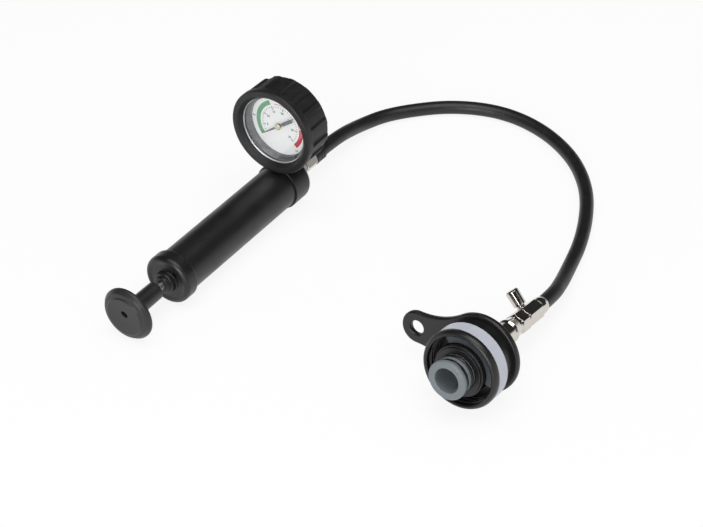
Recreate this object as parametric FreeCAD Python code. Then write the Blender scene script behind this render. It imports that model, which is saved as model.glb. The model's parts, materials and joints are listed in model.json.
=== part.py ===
import FreeCAD, Part
import math
import os

os.makedirs("parts", exist_ok=True)

Vector = FreeCAD.Vector
Rotation = FreeCAD.Rotation
Placement = FreeCAD.Placement

# Radiator pressure tester: a hand air pump with a gauge on its head, a rubber hose and a
# cap adapter with a bleed valve.  Millimetres, +Z up, +X from the pump's knob to its head,
# the cap adapter on the -Y side.  It lies on Z = 0 on its knob, its head and the cap's disc.
# Each group is drawn along its own axis: a station is a distance along that axis, from the
# knob's widest circle on the pump and from the front of the nozzle on the cap adapter.

# ---------------------------------------------------------------- fits
push_fit = 0.02            # radial, between pieces pressed or screwed together
running_fit = 0.05         # radial, between a shaft and its guide
seat_gap = 0.15            # between flat faces that turn or slide past each other
free_gap = 0.3             # between pieces that must never touch

# ---------------------------------------------------------------- where the groups lie
pump_x = -128.0
pump_y = 130.7
cap_x = -74.0
cap_y = -136.9             # of the grip disc's centre
cap_lean = 8.0             # degrees, nozzle up, resting on the edge of the disc
cap_yaw = -2.1             # degrees

# ---------------------------------------------------------------- plunger
knob_radius = 23.6
knob_face = 6.0            # from the widest circle to the face
knob_depth = 5.0           # from the widest circle to the back
knob_band = 1.4            # where the widest circle ends and the knob touches the ground
knob_disc_radius = 16.8    # raised disc on the face, hollowed a little
knob_dish = 0.6
knob_disc_step = 1.1
knob_shoulder_radius = 21.0
knob_shoulder = 4.0        # from the widest circle to the shoulder round the disc
knob_slot_length = 5.2
knob_slot_width = 1.9
knob_slot_depth = 1.6
knob_slot_turn = 28.0      # degrees from +Y
knob_slot_y = -0.5
knob_slot_z = 2.8
sleeve_length = 36.0
sleeve_radius = 7.9
rod_radius = 4.0
rod_seat = 5.0             # from the widest circle to the rod's end inside the sleeve
rod_gap = 7.5              # rod in sight between sleeve and front cap
rod_travel_left = 7.0      # how much further in the plunger goes
rod_tip = 1.0              # thread past the nut
piston_radius = 16.2
piston_length = 7.0
cup_base = 2.5
cup_lip = 5.5
cup_wall = 2.6
washer_radius = 11.0
washer_thickness = 1.5
piston_thread = 3.0
piston_nut_flats = 10.0
piston_nut_height = 5.0
piston_clearance = 3.0     # piston nut to head when the plunger is right in

# ---------------------------------------------------------------- barrel, front cap and head
barrel_radius = 19.7
barrel_bore = 16.5
barrel_length = 157.5
barrel_step = 0.8          # radial, under the front cap's skirt and the head's rim
cap_foot_radius = 22.2
front_wall = 5.2
front_recess = 0.8
front_crest_radius = 19.2
skirt_length = 9.0
skirt_taper = 1.5
nose_radius = 7.1
nose_length = 2.5
collar_radius = 9.7
collar_length = 4.8
bush_radius = 6.4
vent_radius = 1.5
vent_distance = 12.3
vent_angle = 49.0
head_radius = 21.25
head_length = 17.0         # behind the chamber
head_lap = 4.5             # over the end of the barrel
head_round = 5.0
chamber_seal = 1.5
inlet_radius = 1.5
inlet_length = 3.0
valve_bore = 3.2
valve_ball = 2.5
valve_wire = 0.3
valve_coils = 4
stem_offset = 6.0          # gauge stem behind the chamber floor
stem_thread = 4.5
stem_bite = 9.5
stem_flat = 7.6            # radius of the flat around the gauge port
duct_radius = 1.2
port_thread = 5.0
port_depth = 6.0

# ---------------------------------------------------------------- gauge
case_radius = 34.0
boot_wall = 6.2
boot_gap = 0.55            # boot to head
boot_length = 32.5
boot_ahead = 20.5          # boot's front ahead of the stem
boot_ring = 6.5            # smooth front ring
boot_rim = 2.5             # over the face of the bezel
boot_lip = 4.5
boot_lobes = 16
boot_groove_width = 9.0
boot_groove_depth = 2.8
boot_lobe_turn = 96.5      # degrees, of the first groove
boot_back_rim = 8.0        # over the back of the case
boot_back_wall = 2.0
boot_chamfer = 5.4         # radial width of the slope inside the front edge
case_wall = 2.0
case_back = 1.3
bezel_thickness = 1.5
bezel_wall = 0.7
bezel_rim = 2.8
bezel_skirt = 5.0
crystal_thickness = 2.0
dial_depth = 7.1           # crystal to dial
dial_thickness = 0.8
dial_bore = 1.6
cone_width = 3.5           # sloping ring round the dial
cone_depth = 3.0
needle_lift = 3.0          # needle above the dial
needle_thickness = 0.4
needle_reach = 22.0
needle_tail = 18.0
needle_tail_width = 3.2
needle_rest = 217.4        # degrees from the right-hand side, anticlockwise
boss_radius = 2.9
boss_height = 2.0
spindle_radius = 0.8
plate_gap = 0.9            # dial to front plate
plate_thickness = 1.0
plate_spacing = 5.0
gear_gap = 1.1             # front plate to gears
link_gap = 0.4             # gears to link
tube_gap = 0.6             # rear plate to coiled tube
plate_half_width = 8.0
plate_top = 6.5
pillar_radius = 1.2
pillar_out = 6.0
pillar_up = 4.0
gear_thickness = 2.0
gear_rise = 4.5            # sector pivot above the block's top
gear_ratio = 9.0
gear_play = 0.1
needle_sweep = 264.0
sector_hub = 2.4
tail_length = 8.0
link_thickness = 0.8
link_half_width = 1.1
link_pin = 0.7             # radius of the stud the link turns on
tip_lug = 1.0              # radius of the lug on the coiled tube's tip
tube_inset = 12.5          # middle of the coiled tube inside the case's outer radius
tube_flat = 3.0
tube_width = 4.2
tube_arc = 190.0           # degrees, where the coil's free tip is
tube_root = 5.0            # degrees, of the coil inside the block
block_half_width = 6.0
block_inset = 13.5         # top of the block inside the case's outer radius
block_shoulder = 1.5       # feed above the block's top
feed_depth = 6.0           # feed below the block's top
block_drop = 8.6           # foot of the block below its top
block_base = 4.6           # height of its base
block_step = 4.0           # height of the step that carries the plates
stem_flats = 12.0
stem_washer = 1.0

# ---------------------------------------------------------------- hose and its fittings
hose_radius = 6.25
union_flats = 14.0
union_washer = 1.5
union_collar = 2.5
union_hex = 10.0
union_spigot = 9.5
union_bore = 1.75
nut_gap = 1.0
nut_length = 15.0
nipple_flange = 4.0
nipple_neck = 3.6
ferrule_gap = 0.5
ferrule_length = 13.5
ferrule_radius = 7.5
ferrule_wall_end = 2.0
ferrule_neck = 6.8

# ---------------------------------------------------------------- cap adapter
nozzle_bore = 10.6
nozzle_bore_depth = 44.0
flange_radius = 16.6
flange_length = 4.0
flange_chamfer = 1.0
groove_radius = 12.5
groove_length = 4.35
land_radius = 15.6
land_length = 2.9
o_ring_wire = 1.75
core_front = 17.5
core_radius = 22.0
core_step = 2.0
core_step_radius = 20.6
tail_radius = 13.5
tail_end = 63.0
shell_front = 17.0
shell_radius = 33.6
shell_round = 3.3          # length of the rounding at the mouth
lip_slope = 1.4            # radial width of the slope inside the mouth
skirt_bore = 29.2
skirt_floor = 34.0
band_front = 23.3
band_length = 12.3
band_radius = 33.3
band_thickness = 1.8
neck_end = 48.5
neck_radius = 29.5
neck_wall = 3.0
web_thickness = 3.5
disc_thickness = 5.5
disc_radius = 34.0
disc_round = 1.8
hub_radius = 17.0
hub_end = 60.0
rib_count = 6
rib_thickness = 2.0
tab_thickness = 5.0
tab_step = 3.0             # from the disc's rim to where the tab gets thinner
tab_reach = 59.2
tab_drop = -2.2
tab_end_radius = 14.0
tab_sweep_radius = 60.0
hole_radius = 6.0
hole_flare = 1.6           # front edge of the hole
hole_chamfer = 0.8         # rear edge
clip_radius = 16.0
clip_thickness = 1.2
clip_groove = 12.4
clip_opening = 9.0

# ---------------------------------------------------------------- valve fitting
tail_thread = 8.0
tail_bite = 16.0
tail_flats = 22.0
tail_hex = 7.0
tail_washer = 1.5
tail_stem = 8.6
foot_start = 91.0
foot_radius = 10.0
foot_end = 99.0
foot_neck = 8.2
valve_start = 101.7
valve_flats = 17.0
valve_hex = 11.3
valve_groove = 0.7
body_flats = 16.0
body_length = 20.8
flow_bore = 3.6
valve_thread = 5.0
valve_thread_bite = 9.0
bleed_station = 120.0
bleed_turn = 45.0          # degrees from straight up towards +Y
bleed_chamber = 3.1
bleed_seat = 3.9
bleed_guide = 1.1
bleed_pocket = 4.2
bleed_stem_radius = 1.5
bleed_foot_radius = 2.6
bleed_foot = 0.8
bleed_blind = 5.0          # depth of the stem in the knob
bleed_seal_thickness = 0.9
bleed_neck = 3.6
bleed_neck_start = 8.9
bleed_knob_start = 10.5
bleed_knob_radius = 5.65
bleed_knob_length = 14.0
bleed_knob_chamfer = 1.2
bleed_wire = 0.3
bleed_coils = 3
cap_ferrule_length = 9.5
cap_ferrule_radius = 7.8
cap_ferrule_grip = 7.5

# The hose's route, from inside the ferrule at the pump to inside the one at the cap.
hose_route = [
    (136.5, 130.7, 20.85), (160.0, 130.7, 20.6), (187.5, 131.2, 16.9), (218.0, 131.6, 8.7),
    (245.5, 123.6, 6.25), (269.0, 104.7, 6.25), (290.5, 81.5, 6.25), (305.5, 51.5, 6.25),
    (310.0, 21.5, 6.25), (304.3, -10.5, 6.25), (290.7, -40.0, 6.25), (271.5, -65.7, 6.25),
    (242.8, -89.9, 6.25), (207.8, -108.0, 6.25), (171.5, -121.0, 6.25), (140.5, -128.0, 6.8),
    (112.5, -135.2, 11.6), (86.0, -141.0, 18.45), (61.1, -140.1, 21.95),
]

# ---------------------------------------------------------------- stations that follow
nose_tip = sleeve_length + rod_gap
collar_front = nose_tip + nose_length
recess_floor = collar_front + collar_length
cap_wall_end = recess_floor + front_wall
skirt_end = cap_wall_end + skirt_length
barrel_front = cap_wall_end
barrel_rear = barrel_front + barrel_length
head_front = barrel_rear - head_lap
chamber_floor = barrel_rear + chamber_seal
head_rear = chamber_floor + head_length
valve_seat = chamber_floor + inlet_length
ball_station = valve_seat + valve_ball * math.sqrt(2) - inlet_radius + 0.01
port_floor = head_rear - port_depth
stem_station = chamber_floor + stem_offset
boot_radius = case_radius + boot_wall
boot_window = case_radius - boot_rim
boot_back_hole = case_radius - boot_back_rim
bezel_window = case_radius - bezel_rim
dial_edge = case_radius - case_wall - cone_width
tube_radius = case_radius - tube_inset
block_top = case_radius - block_inset          # below the gauge axis
gear_distance = block_top - gear_rise          # pinion to sector pivot
gauge_height = head_radius + boot_radius + boot_gap
flat_height = math.sqrt(head_radius ** 2 - stem_flat ** 2) - 0.05

rod_end = chamber_floor - piston_clearance - rod_travel_left
nut_rear = rod_end - rod_tip
nut_front = nut_rear - piston_nut_height
washer_front = nut_front - washer_thickness
cup_front = washer_front - cup_base
piston_front = cup_front - piston_length

boot_front = stem_station - boot_ahead
boot_rear = boot_front + boot_length
ring_end = boot_front + boot_ring
bezel_front = boot_front + boot_lip
crystal_front = bezel_front + bezel_thickness
case_front = crystal_front + crystal_thickness
bezel_rear = case_front + bezel_skirt - crystal_thickness
case_rear = boot_rear - boot_back_wall
dial_face = case_front + dial_depth
dial_rear = dial_face + dial_thickness
needle_plane = dial_face - needle_lift
plate_front = dial_rear + plate_gap
plate_rear = plate_front + plate_thickness + plate_spacing
gear_front = plate_front + plate_thickness + gear_gap
link_front = gear_front + gear_thickness + link_gap
tube_front = plate_rear + plate_thickness + tube_gap
pinion_radius = gear_distance / (gear_ratio + 1.0) - gear_play / 2.0
sector_radius = gear_distance - gear_distance / (gear_ratio + 1.0) - gear_play / 2.0

union_hex_front = head_rear + union_washer + union_collar
union_hex_rear = union_hex_front + union_hex
union_end = union_hex_rear + union_spigot
nut_start = union_hex_rear + nut_gap
nut_end = nut_start + nut_length
nut_shoulder = union_end + nipple_flange
ferrule_start = nut_end + ferrule_gap
ferrule_end = ferrule_start + ferrule_length
ferrule_floor = ferrule_start + ferrule_wall_end

groove_end = flange_length + groove_length
land_end = groove_end + land_length
core_rear = skirt_floor - seat_gap
disc_rear = neck_end + disc_thickness
clip_front = hub_end + seat_gap
body_start = valve_start + valve_hex + valve_groove
body_end = body_start + body_length
cap_ferrule_end = body_end + cap_ferrule_length


# ---------------------------------------------------------------- building blocks
def profile(points):
    """A closed outline of (station, radius, corner) points; a corner becomes a tangent arc."""
    corners = [Vector(point[0], 0, point[1]) for point in points]
    rounds = [point[2] if len(point) > 2 else 0.0 for point in points]
    count = len(corners)
    entries = []
    for index in range(count):
        here = corners[index]
        back = corners[index - 1] - here
        ahead = corners[(index + 1) % count] - here
        turn = math.pi - back.getAngle(ahead)
        if rounds[index] <= 0 or turn < 0.01:
            entries.append((here, None, here))
            continue
        reach = rounds[index] * math.tan(turn / 2.0)
        reach = min(reach, 0.49 * back.Length, 0.49 * ahead.Length)
        radius = reach / math.tan(turn / 2.0)
        back.normalize()
        ahead.normalize()
        inward = (back + ahead).normalize()
        middle = here + inward * (radius / math.cos(turn / 2.0) - radius)
        entries.append((here + back * reach, middle, here + ahead * reach))
    edges = []
    for index in range(count):
        start, middle, end = entries[index]
        if middle is not None:
            edges.append(Part.Arc(start, middle, end).toShape())
        following = entries[(index + 1) % count][0]
        if (following - end).Length > 1e-6:
            edges.append(Part.LineSegment(end, following).toShape())
    return Part.Face(Part.Wire(edges))


def turned(points, sweep=360.0):
    """Solid of revolution about the X axis."""
    solid = profile(points).revolve(Vector(0, 0, 0), Vector(1, 0, 0), sweep)
    return solid if solid.Volume > 0 else solid.reversed()


def ring(inner, outer, start, end, corner=0.0):
    """Plain ring or disc with both outer edges rounded."""
    return turned([(start, inner), (start, outer, corner), (end, outer, corner), (end, inner)])


def bar(radius, start, end):
    return Part.makeCylinder(radius, end - start, Vector(start, 0, 0), Vector(1, 0, 0))


def pin_across(radius, station, start, end):
    """Cylinder along the local Z axis at one station."""
    return Part.makeCylinder(radius, end - start, Vector(station, 0, start), Vector(0, 0, 1))


def hexagon(flats, start, end, turn=0.0):
    """Hexagonal bar along X with chamfered ends; turn 0 puts a flat on top."""
    corner = flats / math.sqrt(3)
    chamfer = (corner - flats / 2.0) * 1.2
    points = []
    for index in range(7):
        angle = math.radians(turn + 60.0 * index)
        points.append(Vector(start, corner * math.cos(angle), corner * math.sin(angle)))
    prism = Part.Face(Part.makePolygon(points)).extrude(Vector(end - start, 0, 0))
    outer = corner * 1.02
    trim = turned([
        (start, 0),
        (start, flats * 0.49),
        (start + chamfer, outer),
        (end - chamfer, outer),
        (end, flats * 0.49),
        (end, 0),
    ])
    return prism.common(trim)


def coil(mean_radius, wire, start, end, turns):
    """Compression spring along X, its round wire drawn round a helix."""
    length = end - start - 2.0 * wire
    helix = Part.makeHelix(length / turns, length, mean_radius)
    section = Part.Wire(Part.makeCircle(wire, Vector(mean_radius, 0, 0), Vector(0, 1, 0)))
    spring = Part.Wire(helix.Edges).makePipeShell([section], True, True)
    spring.rotate(Vector(0, 0, 0), Vector(0, 1, 0), 90)
    spring.translate(Vector(start + wire, 0, 0))
    return Part.Solid(Part.Shell(spring.Faces))


def plate(outline, start, end):
    """Flat plate between two stations from a closed (y, z) outline."""
    points = [Vector(start, y, z) for y, z in outline]
    points.append(points[0])
    return Part.Face(Part.makePolygon(points)).extrude(Vector(end - start, 0, 0))


def circle_points(centre, radius, first, last, count):
    """Points of an arc in the (y, z) plane, angles in degrees."""
    arc = []
    for index in range(count + 1):
        angle = math.radians(first + (last - first) * index / count)
        arc.append((centre[0] + radius * math.cos(angle), centre[1] + radius * math.sin(angle)))
    return arc


# ---------------------------------------------------------------- plunger
def plunger_handle():
    body = turned([
        (-knob_face + knob_dish, 0),
        (-knob_face + knob_dish, knob_disc_radius * 0.3, 2.0 * knob_disc_radius),
        (-knob_face, knob_disc_radius, 0.5),
        (-knob_face + knob_disc_step, knob_disc_radius + 0.9, 0.4),
        (-knob_shoulder, knob_shoulder_radius, 2.0),
        (-0.8, knob_radius, 1.6),
        (knob_band, knob_radius, 0.5),
        (knob_band + 0.6, knob_radius - 0.9, 0.3),
        (knob_depth - 1.2, knob_radius - 3.0, 1.5),
        (knob_depth + 3.2, sleeve_radius + 0.3, 5.0),
        (sleeve_length, sleeve_radius, 0.8),
        (sleeve_length, rod_radius + push_fit),
        (rod_seat, rod_radius + push_fit),
        (rod_seat, 0),
    ])
    half = (knob_slot_length - knob_slot_width) / 2.0
    floor = -knob_face + knob_slot_depth
    slot = Part.makeBox(knob_slot_depth + 1, 2 * half, knob_slot_width,
                        Vector(floor - knob_slot_depth - 1, -half, -knob_slot_width / 2.0))
    for side in (-half, half):
        end = bar(knob_slot_width / 2.0, floor - knob_slot_depth - 1, floor)
        slot = slot.fuse(end.translated(Vector(0, side, 0)))
    slot.rotate(Vector(0, 0, 0), Vector(1, 0, 0), knob_slot_turn)
    slot.translate(Vector(0, knob_slot_y, knob_slot_z))
    return body.cut(slot)


def plunger_rod():
    return turned([
        (rod_seat, 0),
        (rod_seat, rod_radius, 0.6),
        (piston_front, rod_radius),
        (piston_front, piston_thread),
        (rod_end, piston_thread, 0.5),
        (rod_end, 0),
    ])


def piston():
    guide = piston_length * 0.35
    return turned([
        (piston_front, piston_thread + push_fit),
        (piston_front, piston_radius, 0.6),
        (piston_front + guide, piston_radius, 0.4),
        (piston_front + guide, piston_radius * 0.7),
        (cup_front - guide * 0.6, piston_radius * 0.7),
        (cup_front - guide * 0.6, piston_radius, 0.4),
        (cup_front, piston_radius, 0.4),
        (cup_front, piston_thread + push_fit),
    ])


def piston_cup():
    outer = barrel_bore - running_fit
    return turned([
        (cup_front, piston_thread + push_fit),
        (cup_front, piston_radius, 0.5),
        (cup_front + cup_base + 0.5, outer),
        (washer_front + cup_lip, outer, 0.3),
        (washer_front + cup_lip, outer - 1.2, 0.3),
        (washer_front + 0.6, outer - cup_wall, 0.5),
        (washer_front, outer - cup_wall - 0.8),
        (washer_front, piston_thread + push_fit),
    ])


def piston_washer():
    return ring(piston_thread + push_fit, washer_radius, washer_front, nut_front, 0.3)


def piston_nut():
    return hexagon(piston_nut_flats, nut_front, nut_rear).cut(
        bar(piston_thread + push_fit, nut_front, nut_rear))


# ---------------------------------------------------------------- barrel, front cap and head
def barrel():
    seat = barrel_radius - barrel_step
    return turned([
        (barrel_front, barrel_bore, 0.3),
        (barrel_front, seat, 0.3),
        (skirt_end, seat),
        (skirt_end, barrel_radius),
        (head_front, barrel_radius),
        (head_front, seat),
        (barrel_rear, seat, 0.3),
        (barrel_rear, barrel_bore, 0.3),
    ])


def front_cap():
    seat = barrel_radius - barrel_step + push_fit
    body = turned([
        (nose_tip, rod_radius + free_gap),
        (nose_tip, nose_radius, 0.8),
        (collar_front, nose_radius + 0.2, 0.5),
        (collar_front, collar_radius, 1.0),
        (recess_floor, collar_radius + 0.3, 0.6),
        (recess_floor, front_crest_radius - 3.4, 1.5),
        (recess_floor - front_recess, front_crest_radius, 3.0),
        (recess_floor + 1.4, cap_foot_radius - 0.4, 3.2),
        (recess_floor + 3.4, cap_foot_radius, 3.0),
        (skirt_end - skirt_taper, cap_foot_radius, 1.5),
        (skirt_end, barrel_radius + 0.3, 0.4),
        (skirt_end, seat),
        (cap_wall_end, seat),
        (cap_wall_end, bush_radius + push_fit),
        (collar_front, bush_radius + push_fit),
        (collar_front, rod_radius + free_gap),
    ])
    vent = bar(vent_radius, recess_floor - 3, cap_wall_end + 1)
    turn = math.radians(vent_angle)
    vent.translate(Vector(0, -vent_distance * math.cos(turn), vent_distance * math.sin(turn)))
    return body.cut(vent)


def rod_bush():
    return ring(rod_radius + running_fit, bush_radius, collar_front, cap_wall_end)


def head():
    seat = barrel_radius - barrel_step + push_fit
    body = turned([
        (head_front, seat),
        (head_front, head_radius, 0.5),
        (head_rear, head_radius, head_round),
        (head_rear, port_thread + push_fit),
        (port_floor, port_thread + push_fit),
        (port_floor, valve_bore),
        (valve_seat + valve_bore - inlet_radius, valve_bore),
        (valve_seat, inlet_radius),
        (chamber_floor, inlet_radius),
        (chamber_floor, seat),
    ])
    port_bottom = flat_height - stem_washer - stem_bite
    body = body.cut(pin_across(stem_flat, stem_station, flat_height, head_radius + 1))
    body = body.cut(pin_across(stem_thread + push_fit, stem_station, port_bottom, head_radius))
    return body.cut(pin_across(duct_radius, stem_station, 0, port_bottom + 1))


def head_seal():
    return ring(barrel_bore, barrel_radius - barrel_step, barrel_rear, chamber_floor)


def check_valve_ball():
    return Part.makeSphere(valve_ball, Vector(ball_station, 0, 0))


def check_valve_spring():
    mean = valve_ball * 0.76
    contact = math.sqrt(valve_ball ** 2 - mean ** 2)
    return coil(mean, valve_wire, ball_station + contact + 0.15, port_floor, valve_coils)


# ---------------------------------------------------------------- gauge, drawn about its own axis
def gauge_boot():
    body = turned([
        (boot_front, boot_radius - boot_chamfer, 0.8),
        (boot_front, boot_radius, 1.6),
        (ring_end, boot_radius, 0.4),
        (ring_end + 0.6, boot_radius - 0.5),
        (boot_rear, boot_radius - 0.9, 3.5),
        (boot_rear, boot_back_hole, 0.6),
        (case_rear, boot_back_hole, 0.4),
        (case_rear, case_radius + push_fit),
        (bezel_front, case_radius + push_fit),
        (bezel_front, boot_window, 0.4),
        (bezel_front - 1.0, boot_window, 0.5),
    ])
    floor = boot_radius - boot_groove_depth
    grooves = []
    for index in range(boot_lobes):
        groove = Part.makeBox(boot_length, boot_groove_width, boot_radius,
                              Vector(ring_end, -boot_groove_width / 2.0, floor))
        turn = 90.0 - boot_lobe_turn + 360.0 * index / boot_lobes
        grooves.append(groove.rotated(Vector(0, 0, 0), Vector(1, 0, 0), turn))
    body = body.cut(Part.makeCompound(grooves))
    hole = pin_across(stem_flat + 0.5, stem_station, -boot_radius - 2, -case_radius + 2)
    return body.cut(hole)


def gauge_case():
    neck = case_radius - bezel_wall
    body = turned([
        (case_front, case_radius - case_wall),
        (case_front, neck),
        (bezel_rear, neck),
        (bezel_rear, case_radius),
        (case_rear, case_radius, 2.0),
        (case_rear, 0),
        (case_rear - case_back, 0),
        (case_rear - case_back, case_radius - case_wall - 1.5, 2.0),
        (dial_rear, case_radius - case_wall - 1.5),
        (dial_rear, case_radius - case_wall),
    ])
    return body.cut(pin_across(stem_thread + 0.3, stem_station, -case_radius - 1, -case_radius + 5))


def bezel_ring():
    skin = case_radius - bezel_wall + push_fit
    return turned([
        (bezel_front, bezel_window, 0.4),
        (bezel_front, case_radius, 0.6),
        (bezel_rear, case_radius),
        (bezel_rear, skin),
        (crystal_front, skin),
        (crystal_front, bezel_window, 0.3),
    ])


def crystal():
    return turned([
        (crystal_front, 0),
        (crystal_front, case_radius - bezel_wall - 0.1, 0.2),
        (case_front, case_radius - bezel_wall - 0.1, 0.2),
        (case_front, 0),
    ])


def dial_ring():
    return turned([
        (case_front, bezel_window - 0.2),
        (case_front, case_radius - case_wall - push_fit),
        (dial_face, case_radius - case_wall - push_fit),
        (dial_face, dial_edge + 0.2),
        (case_front + cone_depth, dial_edge, 0.2),
    ])


def dial():
    return ring(dial_bore, case_radius - case_wall - push_fit, dial_face, dial_rear)


def needle():
    tail = needle_tail_width / 2.0
    outline = [
        (boss_radius * 0.8, 1.0),
        (needle_reach - 3.0, 0.35),
        (needle_reach, 0.0),
        (needle_reach - 3.0, -0.35),
        (boss_radius * 0.8, -1.0),
        (-boss_radius - 2.0, -1.0),
        (-boss_radius - 3.2, -tail),
        (-needle_tail, -tail),
        (-needle_tail, tail),
        (-boss_radius - 3.2, tail),
        (-boss_radius - 2.0, 1.0),
    ]
    turn = math.radians(180.0 - needle_rest)
    hand = [(y * math.cos(turn) - z * math.sin(turn), y * math.sin(turn) + z * math.cos(turn))
            for y, z in outline]
    blade = plate(hand, needle_plane, needle_plane + needle_thickness)
    eye = bar(boss_radius * 0.95, needle_plane, needle_plane + needle_thickness)
    return blade.fuse(eye).removeSplitter().cut(bar(boss_radius * 0.55, needle_plane - 1, needle_plane + 1))


def needle_boss():
    middle = needle_plane + needle_thickness
    waist = boss_radius * 0.55 - push_fit
    return turned([
        (needle_plane - boss_height * 0.6, 0),
        (needle_plane - boss_height * 0.6, boss_radius, 0.4),
        (needle_plane, boss_radius),
        (needle_plane, waist),
        (middle + boss_height * 0.5, waist),
        (middle + boss_height * 0.5, spindle_radius + push_fit),
        (needle_plane, spindle_radius + push_fit),
        (needle_plane, 0),
    ])


def needle_spindle():
    gear_rear = gear_front + gear_thickness
    return turned([
        (needle_plane, 0),
        (needle_plane, spindle_radius),
        (gear_front, spindle_radius),
        (gear_front, pinion_radius),
        (gear_rear, pinion_radius),
        (gear_rear, spindle_radius),
        (plate_rear + plate_thickness, spindle_radius),
        (plate_rear + plate_thickness, 0),
    ])


def movement_plates():
    rear = plate_rear + plate_thickness
    outline = [
        (-plate_half_width, plate_top),
        (plate_half_width, plate_top),
        (plate_half_width, -gear_distance * 0.5),
        (block_half_width, -gear_distance),
        (block_half_width, -block_top - block_step),
        (-block_half_width, -block_top - block_step),
        (-block_half_width, -gear_distance),
        (-plate_half_width, -gear_distance * 0.5),
    ]
    front_plate = plate(outline, plate_front, plate_front + plate_thickness)
    rear_plate = plate(outline, plate_rear, rear)
    frame = [front_plate, rear_plate]
    for side in (-pillar_out, pillar_out):
        pillar = bar(pillar_radius, plate_front + plate_thickness, plate_rear)
        frame.append(pillar.translated(Vector(0, side, pillar_up)))
    body = frame[0].fuse(frame[1:])
    for drop in (0.0, gear_distance):
        shaft = bar(spindle_radius + running_fit, plate_front - 1, rear + 1)
        body = body.cut(shaft.translated(Vector(0, 0, -drop)))
    return body


def sector_gear():
    """Quarter-moon gear on its own shaft, with the tail that the link pulls."""
    centre = (0.0, -gear_distance)
    swing = needle_sweep / gear_ratio
    outline = circle_points(centre, sector_radius, 86.0, 94.0 + swing, 8)
    outline += circle_points(centre, sector_hub * 0.8, 94.0 + swing, 86.0, 3)
    wheel = plate(outline, gear_front, gear_front + gear_thickness)
    tail = [
        (-tail_length, -gear_distance + link_half_width + 0.2),
        (0.0, -gear_distance + 1.8),
        (0.0, -gear_distance - 1.8),
        (-tail_length, -gear_distance - link_half_width - 0.2),
    ]
    arm = plate(tail, gear_front, gear_front + gear_thickness)
    middle = Vector(0, 0, -gear_distance)
    hub = bar(sector_hub, gear_front, gear_front + gear_thickness).translated(middle)
    shaft = bar(spindle_radius, plate_front, plate_rear + plate_thickness).translated(middle)
    stud = bar(link_pin, gear_front, link_front + link_thickness)
    stud.translate(Vector(0, -tail_length, -gear_distance))
    lug = bar(link_half_width + 0.2, gear_front, gear_front + gear_thickness)
    lug.translate(Vector(0, -tail_length, -gear_distance))
    return wheel.fuse([arm, hub, shaft, lug, stud])


def tip_point():
    angle = math.radians(tube_arc)
    return (tube_radius * math.cos(angle), tube_radius * math.sin(angle))


def tip_link():
    """Flat bar from the sector's tail to the tip of the coiled tube."""
    start = (-tail_length, -gear_distance)
    end = tip_point()
    angle = math.degrees(math.atan2(end[1] - start[1], end[0] - start[0]))
    outline = circle_points(start, link_half_width, angle + 90, angle + 270, 8)
    outline += circle_points(end, link_half_width, angle - 90, angle + 90, 8)
    body = plate(outline, link_front, link_front + link_thickness)
    eye = bar(link_pin + running_fit, link_front - 1, link_front + link_thickness + 1)
    return body.cut(eye.translated(Vector(0, start[0], start[1])))


def stem_block():
    """Foot of the movement inside the case: carries the plates and feeds the coiled tube."""
    base = Part.makeBox(tube_front + tube_width - plate_front - plate_thickness,
                        2 * block_half_width, block_base,
                        Vector(plate_front + plate_thickness, -block_half_width, -block_top - block_drop))
    tower = Part.makeBox(plate_spacing, 2 * block_half_width, block_step,
                         Vector(plate_front + plate_thickness, -block_half_width, -block_top - block_step))
    feed = Part.makeBox(tube_width, 2 * block_half_width, feed_depth + block_shoulder,
                        Vector(tube_front, -block_half_width, -block_top - feed_depth))
    return base.fuse([tower, feed])


def bourdon_tube():
    """Flat tube bent round most of a circle; its closed tip carries the lug for the link."""
    half = tube_flat / 2.0
    start = -90.0 + tube_root
    section = Part.makePolygon([
        Vector(tube_front, tube_radius - half, 0),
        Vector(tube_front + tube_width, tube_radius - half, 0),
        Vector(tube_front + tube_width, tube_radius + half, 0),
        Vector(tube_front, tube_radius + half, 0),
        Vector(tube_front, tube_radius - half, 0),
    ])
    band = Part.Face(section).revolve(Vector(0, 0, 0), Vector(1, 0, 0), tube_arc - start)
    band.rotate(Vector(0, 0, 0), Vector(1, 0, 0), start)
    y, z = tip_point()
    lug = bar(tip_lug, link_front + link_thickness + free_gap, tube_front + 1.0)
    lug.translate(Vector(0, y * 0.96, z * 0.96 + 0.6))
    return band.cut(stem_block()).fuse(lug)


def gauge_stem():
    """Brass stem from the head up into the case, one piece with the movement's foot."""
    drop = gauge_height
    foot = flat_height + stem_washer - drop
    thread = pin_across(stem_thread, stem_station, foot - stem_bite, 1.0 - block_top - block_drop)
    hexagonal = hexagon(stem_flats, foot, -case_radius)
    hexagonal.rotate(Vector(0, 0, 0), Vector(0, 1, 0), -90)
    hexagonal.translate(Vector(stem_station, 0, 0))
    passage = pin_across(duct_radius, stem_station, foot - stem_bite - 1, -block_top - feed_depth)
    return thread.fuse([hexagonal, stem_block()]).cut(passage)


def stem_seal():
    foot = flat_height - gauge_height
    washer = pin_across(stem_flat - 0.7, stem_station, foot, foot + stem_washer)
    return washer.cut(pin_across(stem_thread + push_fit, stem_station, foot - 1, foot + 3))


# ---------------------------------------------------------------- hose end on the pump
def union_seal():
    return ring(port_thread + push_fit, union_flats / 2.0, head_rear, head_rear + union_washer, 0.2)


def hose_union():
    collar = head_rear + union_washer
    body = turned([
        (port_floor, union_bore),
        (port_floor, port_thread, 0.5),
        (collar, port_thread),
        (collar, union_flats / 2.0 - 0.4, 0.3),
        (union_hex_rear, union_flats / 2.0 - 0.4, 0.3),
        (union_hex_rear, port_thread - 0.4),
        (union_end, port_thread - 0.4, 0.6),
        (union_end, union_bore),
    ])
    flats = hexagon(union_flats, union_hex_front, union_hex_rear)
    return body.fuse(flats.cut(bar(union_bore, union_hex_front - 1, union_hex_rear + 1)))


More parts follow.
